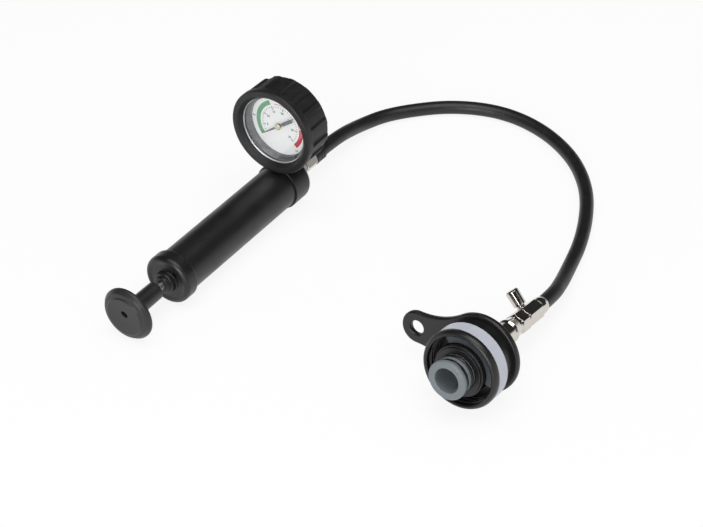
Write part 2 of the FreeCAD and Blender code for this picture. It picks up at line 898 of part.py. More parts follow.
def union_nut():
    inner = port_thread - 0.4 + push_fit
    body = hexagon(union_flats, nut_start, nut_end)
    body = body.cut(bar(inner, nut_start - 1, nut_shoulder))
    return body.cut(bar(nipple_neck + running_fit, nut_start - 1, nut_end + 1))


def pump_ferrule():
    """Nipple, hose tail and crimped sleeve; the sleeve has two rolled grooves."""
    flange = port_thread - 0.4
    outer = ferrule_radius
    third = (ferrule_end - ferrule_floor) / 3.0
    return turned([
        (union_end, union_bore),
        (union_end, flange, 0.3),
        (nut_shoulder, flange),
        (nut_shoulder, nipple_neck),
        (ferrule_start, nipple_neck),
        (ferrule_start, outer, 0.8),
        (ferrule_floor + third - 0.8, outer),
        (ferrule_floor + third, outer - 0.5, 0.4),
        (ferrule_floor + third + 0.8, outer),
        (ferrule_floor + 2 * third - 0.8, outer),
        (ferrule_floor + 2 * third, outer - 0.5, 0.4),
        (ferrule_floor + 2 * third + 0.8, outer),
        (ferrule_end, outer, 0.5),
        (ferrule_end, hose_radius + running_fit),
        (ferrule_floor, hose_radius + running_fit),
        (ferrule_floor, union_bore),
    ])


# ---------------------------------------------------------------- cap adapter
def nozzle():
    return turned([
        (0, nozzle_bore, 0.5),
        (0, flange_radius - flange_chamfer, 0.4),
        (flange_chamfer, flange_radius, 0.5),
        (flange_length, flange_radius, 0.3),
        (flange_length, groove_radius),
        (groove_end, groove_radius),
        (groove_end, land_radius, 0.4),
        (land_end, land_radius, 0.4),
        (land_end, groove_radius),
        (land_end + groove_length, groove_radius),
        (land_end + groove_length, land_radius, 0.4),
        (core_rear, land_radius),
        (core_rear, tail_radius),
        (clip_front, tail_radius),
        (clip_front, clip_groove),
        (clip_front + clip_thickness, clip_groove),
        (clip_front + clip_thickness, tail_radius),
        (tail_end, tail_radius, 0.5),
        (tail_end, tail_thread + push_fit),
        (nozzle_bore_depth, tail_thread + push_fit),
        (nozzle_bore_depth, nozzle_bore, 1.0),
    ])


def o_ring(start, end):
    """Rubber ring lying on the floor of a groove, just proud of the land."""
    middle = (start + end) / 2.0
    centre = groove_radius + o_ring_wire
    return Part.makeTorus(centre, o_ring_wire, Vector(middle, 0, 0), Vector(1, 0, 0))


def core_ring():
    return turned([
        (core_front - core_step, land_radius + push_fit),
        (core_front - core_step, core_step_radius, 0.4),
        (core_front, core_step_radius),
        (core_front, core_radius, 0.8),
        (core_rear - 1.0, core_radius, 0.4),
        (core_rear, core_radius - 1.0),
        (core_rear, land_radius + push_fit),
    ])


def tab_outline():
    """Grip disc and lever in one outline: two arcs sweep from the disc to the rounded end."""
    disc = Vector(0, 0, 0)
    end = Vector(0, tab_reach, tab_drop)
    along = Vector(end)
    spacing = along.Length
    along.normalize()
    across = Vector(0, -along.z, along.y)
    from_disc = disc_radius + tab_sweep_radius
    from_end = tab_end_radius + tab_sweep_radius
    offset = (from_disc ** 2 - from_end ** 2 + spacing ** 2) / (2.0 * spacing)
    height = math.sqrt(from_disc ** 2 - offset ** 2)
    edges = []
    marks = []
    for side in (1.0, -1.0):
        centre = along * offset + across * (side * height)
        on_disc = centre * (disc_radius / from_disc)
        on_end = end + (centre - end) * (tab_end_radius / from_end)
        towards = (on_disc + on_end) * 0.5 - centre
        towards.normalize()
        middle = centre + towards * tab_sweep_radius
        edges.append(Part.Arc(on_disc, middle, on_end).toShape())
        marks.append((on_disc, on_end))
    tip = end + along * tab_end_radius
    edges.append(Part.Arc(marks[0][1], tip, marks[1][1]).toShape())
    edges.append(Part.Arc(marks[0][0], along * -disc_radius, marks[1][0]).toShape())
    return Part.Face(Part.Wire(Part.__sortEdges__(edges)))


def cap_shell():
    """Screw cap with the lever on its grip disc, open and ribbed behind."""
    band_rear = band_front + band_length
    seat = band_radius - band_thickness
    body = turned([
        (shell_front + 1.0, skirt_bore, 0.5),
        (shell_front, skirt_bore + lip_slope, 0.7),
        (shell_front + shell_round * 0.23, shell_radius - shell_round * 0.35, 1.6),
        (shell_front + shell_round, shell_radius, 3.0),
        (band_front, shell_radius, 0.4),
        (band_front, seat),
        (band_rear, seat),
        (band_rear, neck_radius),
        (neck_end + 1.0, neck_radius),
        (neck_end + 1.0, neck_radius - neck_wall),
        (skirt_floor + web_thickness, neck_radius - neck_wall),
        (skirt_floor + web_thickness, hub_radius, 1.0),
        (hub_end, hub_radius, 0.6),
        (hub_end, tail_radius + running_fit),
        (skirt_floor, tail_radius + running_fit),
        (skirt_floor, skirt_bore, 0.6),
    ])
    blank = tab_outline().extrude(Vector(disc_thickness, 0, 0))
    blank.translate(Vector(neck_end, 0, 0))
    rim = []
    for edge in blank.Edges:
        flat = edge.BoundBox.XLength < 1e-6
        if flat:
            rim.append(edge)
    blank = blank.makeFillet(disc_round, rim)
    blank = blank.cut(bar(neck_radius - neck_wall, neck_end - 1, disc_rear + 1))
    lighten = disc_thickness - tab_thickness
    step_width = 2.0 * disc_radius
    corner = Vector(disc_rear - lighten, disc_radius + tab_step, -disc_radius)
    blank = blank.cut(Part.makeBox(lighten + 1, tab_reach, step_width, corner))
    ribs = []
    for index in range(rib_count):
        depth = neck_end - skirt_floor - web_thickness + 1.0
        corner = Vector(skirt_floor + web_thickness - 0.5, -rib_thickness / 2.0, hub_radius - 0.5)
        rib = Part.makeBox(depth, rib_thickness, neck_radius - neck_wall - hub_radius + 1.0, corner)
        ribs.append(rib.rotated(Vector(0, 0, 0), Vector(1, 0, 0), 30 + 360.0 * index / rib_count))
    body = body.fuse([blank] + ribs)
    centre = Vector(0, tab_reach, tab_drop)
    hole = turned([
        (neck_end - 1, 0),
        (neck_end - 1, hole_radius + hole_flare + 1),
        (neck_end + hole_flare, hole_radius, 1.5),
        (disc_rear - lighten - hole_chamfer, hole_radius),
        (disc_rear - lighten + 1, hole_radius + hole_chamfer + 1),
        (disc_rear - lighten + 1, 0),
    ])
    return body.cut(hole.translated(centre))


def code_band():
    return ring(band_radius - band_thickness + push_fit, band_radius,
                band_front, band_front + band_length, 0.4)


def retaining_clip():
    body = ring(clip_groove + push_fit, clip_radius, clip_front, clip_front + clip_thickness)
    opening = Part.makeBox(clip_thickness + 2, clip_opening, clip_radius + 2,
                           Vector(clip_front - 1, -clip_opening / 2.0, 0))
    return body.cut(opening)


# ---------------------------------------------------------------- valve fitting
def tail_seal():
    return ring(tail_thread + push_fit, tail_radius, tail_end, tail_end + tail_washer, 0.3)


def tail_adapter():
    """Screwed into the nozzle; a flared foot shows between the cap and the valve."""
    hex_front = tail_end + tail_washer
    hex_rear = hex_front + tail_hex
    body = turned([
        (tail_end - tail_bite, flow_bore),
        (tail_end - tail_bite, tail_thread, 0.8),
        (hex_front, tail_thread),
        (hex_front, tail_flats / 2.0 - 0.5),
        (hex_rear, tail_flats / 2.0 - 0.5, 0.5),
        (hex_rear, tail_stem, 1.0),
        (foot_start - 2.0, tail_stem, 1.0),
        (foot_start, foot_radius, 0.5),
        (foot_end, foot_neck, 1.0),
        (valve_start, foot_neck),
        (valve_start, valve_thread),
        (valve_start + valve_thread_bite, valve_thread, 0.6),
        (valve_start + valve_thread_bite, flow_bore),
    ])
    flats = hexagon(tail_flats, hex_front, hex_rear)
    return body.fuse(flats.cut(bar(flow_bore, hex_front - 1, hex_rear + 1)))


def bleed_axis(shape):
    """Turn a shape drawn along X onto the bleed knob's axis."""
    up = math.radians(bleed_turn)
    outward = Vector(0, math.sin(up), math.cos(up))
    place = Placement(Vector(bleed_station, 0, 0), Rotation(Vector(1, 0, 0), outward))
    return shape.transformed(place.toMatrix())


def valve_body():
    turn = 30.0 + 90.0 - bleed_turn
    hexes = hexagon(valve_flats, valve_start, valve_start + valve_hex, turn)
    waist = bar(valve_flats / 2.0 - 0.8, valve_start + valve_hex - 0.5, body_start + 0.5)
    block = hexagon(body_flats, body_start, body_end, turn)
    body = hexes.fuse([waist, block])
    body = body.cut(bar(flow_bore, valve_start - 1, body_end + 1))
    body = body.cut(bar(valve_thread + push_fit, valve_start - 1, valve_start + valve_thread_bite))
    body = body.cut(bar(valve_thread + push_fit, body_end - valve_thread_bite + 1, body_end + 1))
    inside = bleed_seat + bleed_guide
    body = body.cut(bleed_axis(bar(bleed_chamber, 0, bleed_seat)))
    body = body.cut(bleed_axis(bar(bleed_stem_radius + running_fit * 4, 0, inside + 1)))
    return body.cut(bleed_axis(bar(bleed_pocket, inside, valve_flats)))


def bleed_stem():
    top = bleed_neck_start + bleed_blind
    seal_rear = bleed_seat - 0.05
    foot_rear = seal_rear - bleed_seal_thickness
    return bleed_axis(turned([
        (foot_rear - bleed_foot, 0),
        (foot_rear - bleed_foot, bleed_foot_radius, 0.2),
        (foot_rear, bleed_foot_radius),
        (foot_rear, bleed_stem_radius),
        (top, bleed_stem_radius),
        (top, 0),
    ]))


def bleed_seal():
    rear = bleed_seat - 0.05
    front = rear - bleed_seal_thickness
    return bleed_axis(ring(bleed_stem_radius + push_fit, bleed_chamber - 0.2, front, rear))


def bleed_spring():
    floor = bleed_seat + bleed_guide
    mean = (bleed_stem_radius + bleed_pocket) / 2.0 + 0.15
    return bleed_axis(coil(mean, bleed_wire, floor + 0.02, bleed_neck_start - 0.02, bleed_coils))


def bleed_knob():
    top = bleed_knob_start + bleed_knob_length
    blind = bleed_neck_start + bleed_blind
    return bleed_axis(turned([
        (bleed_neck_start, bleed_stem_radius + push_fit),
        (bleed_neck_start, bleed_neck, 0.2),
        (bleed_knob_start, bleed_neck),
        (bleed_knob_start, bleed_knob_radius - 0.3, 0.5),
        (top - bleed_knob_chamfer, bleed_knob_radius, 0.5),
        (top, bleed_knob_radius - bleed_knob_chamfer, 0.4),
        (top, 0),
        (blind, 0),
        (blind, bleed_stem_radius + push_fit),
    ]))


def cap_ferrule():
    """Nipple screwed into the valve, with the tapered sleeve that grips the hose."""
    floor = cap_ferrule_end - cap_ferrule_grip
    return turned([
        (body_end - valve_thread_bite + 1, flow_bore - 1.0),
        (body_end - valve_thread_bite + 1, valve_thread, 0.4),
        (body_end, valve_thread),
        (body_end, cap_ferrule_radius, 0.3),
        (body_end + cap_ferrule_length * 0.55, cap_ferrule_radius, 1.0),
        (cap_ferrule_end, ferrule_neck + 0.1, 0.3),
        (cap_ferrule_end, hose_radius + running_fit),
        (floor, hose_radius + running_fit),
        (floor, flow_bore - 1.0),
    ])


# ---------------------------------------------------------------- hose
def hose():
    """Straight runs joined by tangent arcs, swept with the hose's round section."""
    points = [Vector(*point) for point in hose_route]
    edges = []
    start = points[0]
    radii = []
    for before, here, after in zip(points, points[1:], points[2:]):
        back = before - here
        ahead = after - here
        turn = math.pi - back.getAngle(ahead)
        reach = 0.45 * min(back.Length, ahead.Length)
        radius = reach / math.tan(turn / 2.0)
        radii.append(round(radius))
        back.normalize()
        ahead.normalize()
        inward = (back + ahead).normalize()
        entry = here + back * reach
        leave = here + ahead * reach
        middle = here + inward * (radius / math.cos(turn / 2.0) - radius)
        edges.append(Part.LineSegment(start, entry).toShape())
        edges.append(Part.Arc(entry, middle, leave).toShape())
        start = leave
    edges.append(Part.LineSegment(start, points[-1]).toShape())
    path = Part.Wire(edges)
    section = Part.Wire(Part.makeCircle(hose_radius, points[0], points[1] - points[0]))
    shell = path.makePipeShell([section], True, False)
    rod = Part.Solid(Part.Shell(shell.Faces))
    print("hose bend radii", radii)
    print("hose length %.1f, volume over section x length %.4f"
          % (path.Length, rod.Volume / (math.pi * hose_radius ** 2 * path.Length)))
    return rod


# ---------------------------------------------------------------- placing and writing
def pump_placement():
    """The pump leans down from its knob to its head, because the knob is the larger wheel."""
    foot = head_rear - head_round
    lean = math.atan2(knob_radius - head_radius, foot - knob_band)
    height = knob_radius * math.cos(lean) + knob_band * math.sin(lean)
    lean = math.degrees(lean)
    return Placement(Vector(pump_x, pump_y, height), Rotation(Vector(0, 1, 0), lean))


def cap_placement():
    """The cap adapter leans back on the lower edge of its grip disc."""
    lean = math.radians(cap_lean)
    yaw = math.radians(cap_yaw)
    foot = disc_rear - disc_round
    height = foot * math.sin(lean) + (disc_radius - disc_round) * math.cos(lean) + disc_round
    front_y = cap_y - neck_end * math.cos(lean) * math.sin(yaw)
    turn = Rotation(Vector(0, 0, 1), cap_yaw).multiply(Rotation(Vector(0, 1, 0), cap_lean))
    return Placement(Vector(cap_x, front_y, height), turn)


def main():
    pump_place = pump_placement()
    gauge_place = pump_place.multiply(Placement(Vector(0, 0, gauge_height), Rotation()))
    cap_place = cap_placement()
    groups = [
        (pump_place, [plunger_handle, plunger_rod, piston, piston_cup, piston_washer, piston_nut,
                      barrel, front_cap, rod_bush, head, head_seal, check_valve_ball,
                      check_valve_spring, union_seal, hose_union, union_nut, pump_ferrule]),
        (gauge_place, [gauge_boot, gauge_case, bezel_ring, crystal, dial_ring, dial, needle,
                       needle_boss, needle_spindle, movement_plates, sector_gear, tip_link,
                       bourdon_tube, gauge_stem, stem_seal]),
        (cap_place, [nozzle, core_ring, cap_shell, code_band, retaining_clip, tail_seal,
                     tail_adapter, valve_body, bleed_stem, bleed_seal, bleed_spring, bleed_knob,
                     cap_ferrule]),
        (Placement(), [hose]),
    ]
    for place, makers in groups:
        for maker in makers:
            shape = maker().transformed(place.toMatrix())
            shape.exportStep("parts/" + maker.__name__ + ".step")
    for name, start in (("o_ring_front", flange_length), ("o_ring_rear", land_end)):
        seal = o_ring(start, start + groove_length).transformed(cap_place.toMatrix())
        seal.exportStep("parts/" + name + ".step")
    print("pump placement", pump_place)
    print("cap placement", cap_place)


main()
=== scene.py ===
import bpy
import json
import math
import numpy as np
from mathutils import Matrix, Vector


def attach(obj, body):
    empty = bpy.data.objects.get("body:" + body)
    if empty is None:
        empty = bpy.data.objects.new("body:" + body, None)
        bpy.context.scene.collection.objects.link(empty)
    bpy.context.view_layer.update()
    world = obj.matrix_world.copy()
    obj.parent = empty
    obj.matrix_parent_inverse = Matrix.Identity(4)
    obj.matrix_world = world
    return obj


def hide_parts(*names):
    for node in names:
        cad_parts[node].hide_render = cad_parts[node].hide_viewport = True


# Radiator pressure tester: a hand pump with a booted gauge, a hose, and a cap adapter with a bleed valve.
# Sizes are millimetres in each group's own frame: x along its axis, y level to its left, z square to both.

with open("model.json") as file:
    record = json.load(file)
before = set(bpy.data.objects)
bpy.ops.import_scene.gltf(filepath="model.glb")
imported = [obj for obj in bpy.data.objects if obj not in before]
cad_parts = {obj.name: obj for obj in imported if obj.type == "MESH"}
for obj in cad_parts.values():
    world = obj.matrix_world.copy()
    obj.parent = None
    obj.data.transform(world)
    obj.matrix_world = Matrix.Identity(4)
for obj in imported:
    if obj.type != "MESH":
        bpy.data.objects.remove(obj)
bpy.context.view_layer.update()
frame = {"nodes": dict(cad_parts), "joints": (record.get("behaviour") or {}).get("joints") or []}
joints = {joint["name"]: joint for joint in frame["joints"]}


def groupFrame(point, along, station, rise=0.0):
    # columns x, y, z and origin; the point lies at that station and height of the frame
    x = np.array(along, float) / np.linalg.norm(along)
    y = np.cross([0.0, 0.0, 1.0], x)
    y /= np.linalg.norm(y)
    z = np.cross(x, y)
    origin = np.array(point, float) * 1000.0 - station * x - rise * z
    return np.column_stack([x, y, z, origin])


# where the joints lie along their group's axis, and how high the gauge's axis is over the pump's
stations = {"needle": 211.0, "gaugeRise": 62.0, "swivel": 48.5, "bleed": 120.0}
needleTurn, capSwivel = joints["needle_turn"], joints["cap_swivel"]
gauge = groupFrame(needleTurn["pos_m"], needleTurn["axis"], stations["needle"])
pump = groupFrame(needleTurn["pos_m"], needleTurn["axis"], stations["needle"], stations["gaugeRise"])
adapter = groupFrame(capSwivel["pos_m"], capSwivel["axis"], stations["swivel"])
bleedOut = -np.array(joints["bleed_press"]["axis"])
bleed = np.column_stack([bleedOut, adapter[:, 0], np.cross(bleedOut, adapter[:, 0]),
                         adapter[:, 3] + stations["bleed"] * adapter[:, 0]])


def toRow(points, place):
    # from a group's frame in millimetres to the shared frame in metres
    return (np.asarray(points) @ place[:, :3].T + place[:, 3]) / 1000.0


def addObject(name, data):
    item = bpy.data.objects.new(name, data)
    bpy.context.scene.collection.objects.link(item)
    return item


def lookFrom(item, place, aim):
    # stand the item at its place and turn its own -z axis to the aim; the way is returned
    gaze = Vector(aim) - Vector(place)
    item.location = place
    item.rotation_euler = gaze.to_track_quat("-Z", "Y").to_euler()
    return gaze.length


# the camera stands in front and to the left, and looks down on the object
view = {"eye": (-1.0611, -0.6982, 1.0578), "aim": (0.0497, 0.03235, 0.0), "lens": 102.4, "sensor": 36.0,
        "clipEnd": 20.0}


def addCamera():
    data = bpy.data.cameras.new("camera")
    data.sensor_width = view["sensor"]
    data.lens = view["lens"]
    data.clip_end = view["clipEnd"]
    camera = addObject("camera", data)
    bpy.context.scene.camera = camera
    print("camera:", round(lookFrom(camera, view["eye"], view["aim"]), 3), "m away")


def linear(hexColour):
    channels = [int(hexColour[i:i + 2], 16) / 255.0 for i in (1, 3, 5)]
    return [c / 12.92 if c <= 0.04045 else ((c + 0.055) / 1.055) ** 2.4 for c in channels] + [1.0]


def addNode(tree, kind, settings, links=()):
    # settings go to the node's inputs where it has one of that name, else to the node itself
    node = tree.nodes.new(kind)
    for key, value in settings.items():
        if isinstance(key, int) or key in node.inputs:
            node.inputs[key].default_value = value
        else:
            setattr(node, key, value)
    for key, socket in links:
        tree.links.new(socket, node.inputs[key])
    return node


def perMetre(millimetres):
    return 1000.0 / millimetres


def blankMaterial(name):
    material = bpy.data.materials.new(name)
    material.use_nodes = True
    tree = material.node_tree
    tree.nodes.clear()
    return material, tree, addNode(tree, "ShaderNodeOutputMaterial", {})


def addFinish(settings, name, dark, light, rough, patch, grainSize, grainDepth):
    # one noise drifts between two close tones and between two roughnesses; a finer one is the bump of the grain
    material, tree, output = blankMaterial(name)
    where = addNode(tree, "ShaderNodeTexCoord", {}).outputs["Object"]
    drift = addNode(tree, "ShaderNodeTexNoise", {"Scale": perMetre(patch), "Detail": 3.0}, [("Vector", where)])
    tone = addNode(tree, "ShaderNodeMix", {
        "data_type": "RGBA", "blend_type": "MIX", 6: linear(dark), 7: linear(light),
    }, [(0, drift.outputs["Fac"])])
    span = addNode(tree, "ShaderNodeMapRange", {
        "From Min": 0.3, "From Max": 0.7, "To Min": rough[0], "To Max": rough[1],
    }, [("Value", drift.outputs["Fac"])])
    grain = addNode(tree, "ShaderNodeTexNoise", {"Scale": perMetre(grainSize), "Detail": 2.0}, [("Vector", where)])
    bump = addNode(tree, "ShaderNodeBump", {"Strength": 1.0, "Distance": grainDepth / 1000.0},
                   [("Height", grain.outputs["Fac"])])
    shader = addNode(tree, "ShaderNodeBsdfPrincipled", settings, [
        ("Base Color", tone.outputs[2]), ("Roughness", span.outputs[0]), ("Normal", bump.outputs["Normal"]),
    ])
    tree.links.new(shader.outputs[0], output.inputs[0])
    return material


def dielectric(*looks):
    return addFinish({"IOR": 1.5}, *looks)


def metal(*looks):
    return addFinish({"Metallic": 1.0}, *looks)


# each: name, dark and light tone, roughness, width of the drift, width and depth of the grain in millimetres;
# a grain finer than a third of a millimetre is drawn about that coarse, so that it shows
# ABS moulded in a spark-eroded tool: a satin black with a fine even grain
moulded = dielectric("mouldedAbs", "#100f10", "#1a191a", (0.32, 0.42), 9.0, 0.35, 0.012)
# glass-filled nylon coloured a lighter blue-grey: a painted sheen standing in for the lit, reflecting skin inside
# the skirt
ledgePaintedSheen = dielectric("bloomedNylon", "#2e3337", "#393e42", (0.4, 0.5), 6.0, 0.4, 0.012)
# polypropylene moulded in a polished tool: a little greyer and smoother, for the knob
polished = dielectric("mouldedPolypropylene", "#1e1c1e", "#2a2829", (0.34, 0.42), 14.0, 0.5, 0.01)
# powder coat on drawn aluminium tube: matt black with a faint orange peel
powderCoat = dielectric("powderCoat", "#131213", "#1b1a1b", (0.34, 0.44), 20.0, 1.1, 0.02)
# nitrile rubber pressed in a mould: dull, slightly dusty black
bootRubber = dielectric("pressedRubber", "#0f0e0f", "#1a191a", (0.46, 0.56), 7.0, 0.45, 0.02)
# extruded EPDM hose: smooth black with a soft shine
hoseRubber = dielectric("extrudedEpdm", "#121112", "#1b1a1b", (0.38, 0.48), 12.0, 0.8, 0.02)
# oiled nitrile seals
sealRubber = dielectric("nitrileSeal", "#0c0c0c", "#151515", (0.25, 0.35), 4.0, 0.4, 0.01)
# glass-filled nylon moulded grey: soft satin with a cool tint
greyNylon = dielectric("glassFilledNylon", "#646a6e", "#71787c", (0.34, 0.44), 6.0, 0.4, 0.012)
# acetal band pressed on the cap, pale blue-grey
paleAcetal = dielectric("acetalBand", "#a9acb6", "#b6b9c2", (0.3, 0.38), 10.0, 0.5, 0.008)
# enamelled steel dial, white
dialEnamel = dielectric("dialEnamel", "#f1f1f1", "#f8f8f8", (0.45, 0.5), 8.0, 0.5, 0.002)
# polystyrene cone round the dial, grey
greyStyrene = dielectric("styreneCone", "#494b4d", "#555759", (0.25, 0.32), 9.0, 0.5, 0.002)
# printing inks on the dial
greenInk = dielectric("greenInk", "#4f9a68", "#5aa572", (0.5, 0.55), 3.0, 0.3, 0.002)
redInk = dielectric("redInk", "#c4384c", "#cf4658", (0.5, 0.55), 3.0, 0.3, 0.002)
blackInk = dielectric("blackInk", "#161617", "#1f1f21", (0.5, 0.55), 3.0, 0.3, 0.002)
# grey lacquer on the needle
needleLacquer = dielectric("needleLacquer", "#4b4d4f", "#565859", (0.35, 0.42), 3.0, 0.3, 0.002)
# pressed fibre washer, red-brown
fibre = dielectric("pressedFibre", "#5a2f20", "#6e3c2a", (0.6, 0.7), 2.0, 0.3, 0.01)
# bright nickel plate on turned brass: warm white mirror, faintly clouded by handling
nickel = metal("nickelPlate", "#c7c2bb", "#d7d2cb", (0.08, 0.18), 5.0, 2.5, 0.004)
# bright-rolled bezel ring
brightSteel = metal("brightSteel", "#e4e4e5", "#efeff0", (0.36, 0.46), 6.0, 2.0, 0.003)
# free-cutting steel as turned and ground
groundSteel = metal("groundSteel", "#c9c7c3", "#d6d4d0", (0.26, 0.36), 3.0, 0.6, 0.004)
# turned brass
turnedBrass = metal("turnedBrass", "#cdbf9c", "#d9ccab", (0.24, 0.36), 4.0, 0.6, 0.004)
print("materials:", len(bpy.data.materials))


def anyRay(tree, path, *kinds):
    # 1 for a ray of one of these kinds, else 0
    found = path.outputs[kinds[0]]
    for kind in kinds[1:]:
        larger = addNode(tree, "ShaderNodeMath", {"operation": "MAXIMUM"}, [(0, found), (1, path.outputs[kind])])
        found = larger.outputs[0]
    return found


def clearPane():
    # cast acrylic window: lamps pass through it, so the dial under it isn't darkened
    material, tree, output = blankMaterial("castAcrylic")
    glass = addNode(tree, "ShaderNodeBsdfPrincipled", {
        "Base Color": (1.0, 1.0, 1.0, 1.0), "Transmission Weight": 1.0, "IOR": 1.49, "Roughness": 0.02,
    })
    clear = addNode(tree, "ShaderNodeBsdfTransparent", {"Color": (0.97, 0.98, 0.98, 1.0)})
    path = addNode(tree, "ShaderNodeLightPath", {})
    mix = addNode(tree, "ShaderNodeMixShader", {}, [
        (0, anyRay(tree, path, "Is Shadow Ray", "Is Diffuse Ray")), (1, glass.outputs[0]), (2, clear.outputs[0]),
    ])
    tree.links.new(mix.outputs[0], output.inputs[0])
    return material


def outline(corners, step=2.5):
    # a closed line of (station, radius, round): each rounded corner is the arc tangent to its two sides,
    # and runs longer than the step are divided evenly
    spots = np.array([corner[:2] for corner in corners], float)
    path = []
    for index, corner in enumerate(corners):
        here = spots[index]
        back = spots[index - 1] - here
        ahead = spots[(index + 1) % len(corners)] - here
        backLength, aheadLength = np.linalg.norm(back), np.linalg.norm(ahead)
        back, ahead = back / backLength, ahead / aheadLength
        turn = math.pi - math.acos(max(-1.0, min(1.0, float(back @ ahead))))
        if len(corner) < 3 or turn < 0.01:
            path.append(here[None])
            continue
        reach = min(corner[2] * math.tan(turn / 2), 0.49 * backLength, 0.49 * aheadLength)
        radius = reach / math.tan(turn / 2)
        inward = (back + ahead) / np.linalg.norm(back + ahead)
        centre = here + inward * radius / math.cos(turn / 2)
        first, last = here + back * reach - centre, here + ahead * reach - centre
        angle = math.atan2(first[1], first[0])
        swing = (math.atan2(last[1], last[0]) - angle + math.pi) % (2 * math.pi) - math.pi
        angles = angle + swing * np.linspace(0, 1, 2 + math.ceil(turn / math.radians(15)))
        path.append(centre + radius * np.column_stack([np.cos(angles), np.sin(angles)]))
    path = np.concatenate(path)
    following = np.roll(path, -1, 0)
    counts = np.maximum(1, np.ceil(np.linalg.norm(following - path, axis=1) / step)).astype(int)
    start = np.repeat(np.arange(len(path)), counts)
    share = (np.arange(len(start)) - np.repeat(np.cumsum(counts) - counts, counts)) / counts[start]
    return path[start] + (following - path)[start] * share[:, None]


def lathe(line, around=160, shape=None, first=0.0):
    # the closed line carried round the x axis: point = (s, r cos a, r sin a), where shape may change s and r
    # with the angle; rows on the axis close to one point
    station, radius = line[:, 0], line[:, 1]
    count = len(line)
    angle = first + np.linspace(0, 2 * math.pi, around, endpoint=False)
    s, a = np.meshgrid(station, angle, indexing="ij")
    r = np.repeat(radius[:, None], around, 1)
    if shape:
        s, r = shape(s, r, a)
    points = np.stack([s, r * np.cos(a), r * np.sin(a)], -1).reshape(-1, 3)
    row, column = np.meshgrid(np.arange(count), np.arange(around), indexing="ij")
    below, beside = (row + 1) % count, (column + 1) % around
    onAxis = radius < 1e-6
    spots = ((row, column), (row, beside), (below, beside), (below, column))
    corner = np.stack([i * around + np.where(onAxis[i], 0, j) for i, j in spots], -1).reshape(-1, 4)
    following = np.roll(line, -1, 0)
    area = np.sum(line[:, 0] * following[:, 1] - following[:, 0] * line[:, 1])
    if area > 0:
        corner = corner[:, ::-1]
    same = corner == np.roll(corner, -1, 1)
    shared = same.sum(1)
    pinched = shared == 1
    return points, corner[shared == 0], corner[pinched][~same[pinched]].reshape(-1, 3)


def joined(*surfaces):
    points, quads, triangles, offset = [], [], [], 0
    for surface in surfaces:
        points.append(surface[0])
        quads.append(surface[1] + offset)
        triangles.append(surface[2] + offset)
        offset += len(surface[0])
    return np.concatenate(points), np.concatenate(quads), np.concatenate(triangles)


def addPiece(name, surface, place, body, slotName, finish, *nodes):
    points, quads, triangles = surface
    used = np.unique(np.concatenate([quads.ravel(), triangles.ravel()]))
    order = np.zeros(len(points), int)
    order[used] = np.arange(len(used))
    mesh = bpy.data.meshes.new(name)
    faces = order[quads].tolist() + order[triangles].tolist()
    mesh.from_pydata(toRow(points[used], place).tolist(), [], faces)
    shadeSmooth(mesh)
    return finishPiece(name, mesh, body, finish, nodes)


def shadeSmooth(mesh):
    mesh.polygons.foreach_set("use_smooth", np.ones(len(mesh.polygons), bool))
    mesh.set_sharp_from_angle(angle=math.radians(40))


def finishPiece(name, data, body, finish, nodes):
    piece = addObject(name, data)
    data.materials.append(finish)
    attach(piece, body)
    if nodes:
        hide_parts(*nodes)
    return piece


def smooth(value, low, high):
    # 0 up to low, 1 from high, and a cubic ease between
    t = np.clip((value - low) / (high - low), 0.0, 1.0)
    return t * t * (3.0 - 2.0 * t)


def hexRadius(angle, flats, corner, power=90):
    # a hexagon's radius at each angle with its corners barely rounded: a / (sum of cos^power)^(1/power)
    total = 0.0
    for index in range(6):
        total = total + np.clip(np.cos(angle - corner - math.radians(30 + 60 * index)), 0, 1) ** power
    return flats / 2.0 / total ** (1.0 / power)


def hexCut(flats):
    # the radius cut to a hexagon's at each angle
    return lambda s, r, a: (s, np.minimum(r, hexRadius(a, flats, 0.0)))


def hexLine(flats, start, end):
    # corners of a hexagon's own line: chamfered at both ends
    wide = flats / math.sqrt(3)
    slope = (wide - flats / 2.0) * 1.2
    return [(start, flats * 0.485), (start + slope, wide * 1.03), (end - slope, wide * 1.03), (end, flats * 0.485)]


# the hose leaves the pump's union, lies on the ground and rises to the adapter; its route is in metres
hoseSize = {"radius": 6.25, "length": 0.562}
hoseRoute = [
    (0.1365, 0.1307, 0.02085), (0.16, 0.1307, 0.0206), (0.1875, 0.1312, 0.0169), (0.218, 0.1316, 0.0087),
    (0.2455, 0.1236, 0.00625), (0.269, 0.1047, 0.00625), (0.2905, 0.0815, 0.00625), (0.3055, 0.0515, 0.00625),
    (0.31, 0.0215, 0.00625), (0.3043, -0.0105, 0.00625), (0.2907, -0.04, 0.00625), (0.2715, -0.0657, 0.00625),
    (0.2428, -0.0899, 0.00625), (0.2078, -0.108, 0.00625), (0.1715, -0.121, 0.00625), (0.1405, -0.128, 0.0068),
    (0.1125, -0.1352, 0.0116), (0.086, -0.141, 0.01845), (0.0611, -0.1401, 0.02195),
]


def addHose():
    # a round tube along a smooth curve that the route's points pull
    curve = bpy.data.curves.new("hose", "CURVE")
    curve.dimensions = "3D"
    curve.bevel_depth = hoseSize["radius"] / 1000.0
    curve.bevel_resolution = 12
    curve.resolution_u = 12
    curve.use_fill_caps = True
    spline = curve.splines.new("NURBS")
    spline.points.add(len(hoseRoute) - 1)
    spline.points.foreach_set("co", np.column_stack([hoseRoute, np.ones(len(hoseRoute))]).ravel())
    spline.order_u = 3
    spline.use_endpoint_u = True
    return finishPiece("hose", curve, "root", hoseRubber, ["hose"])


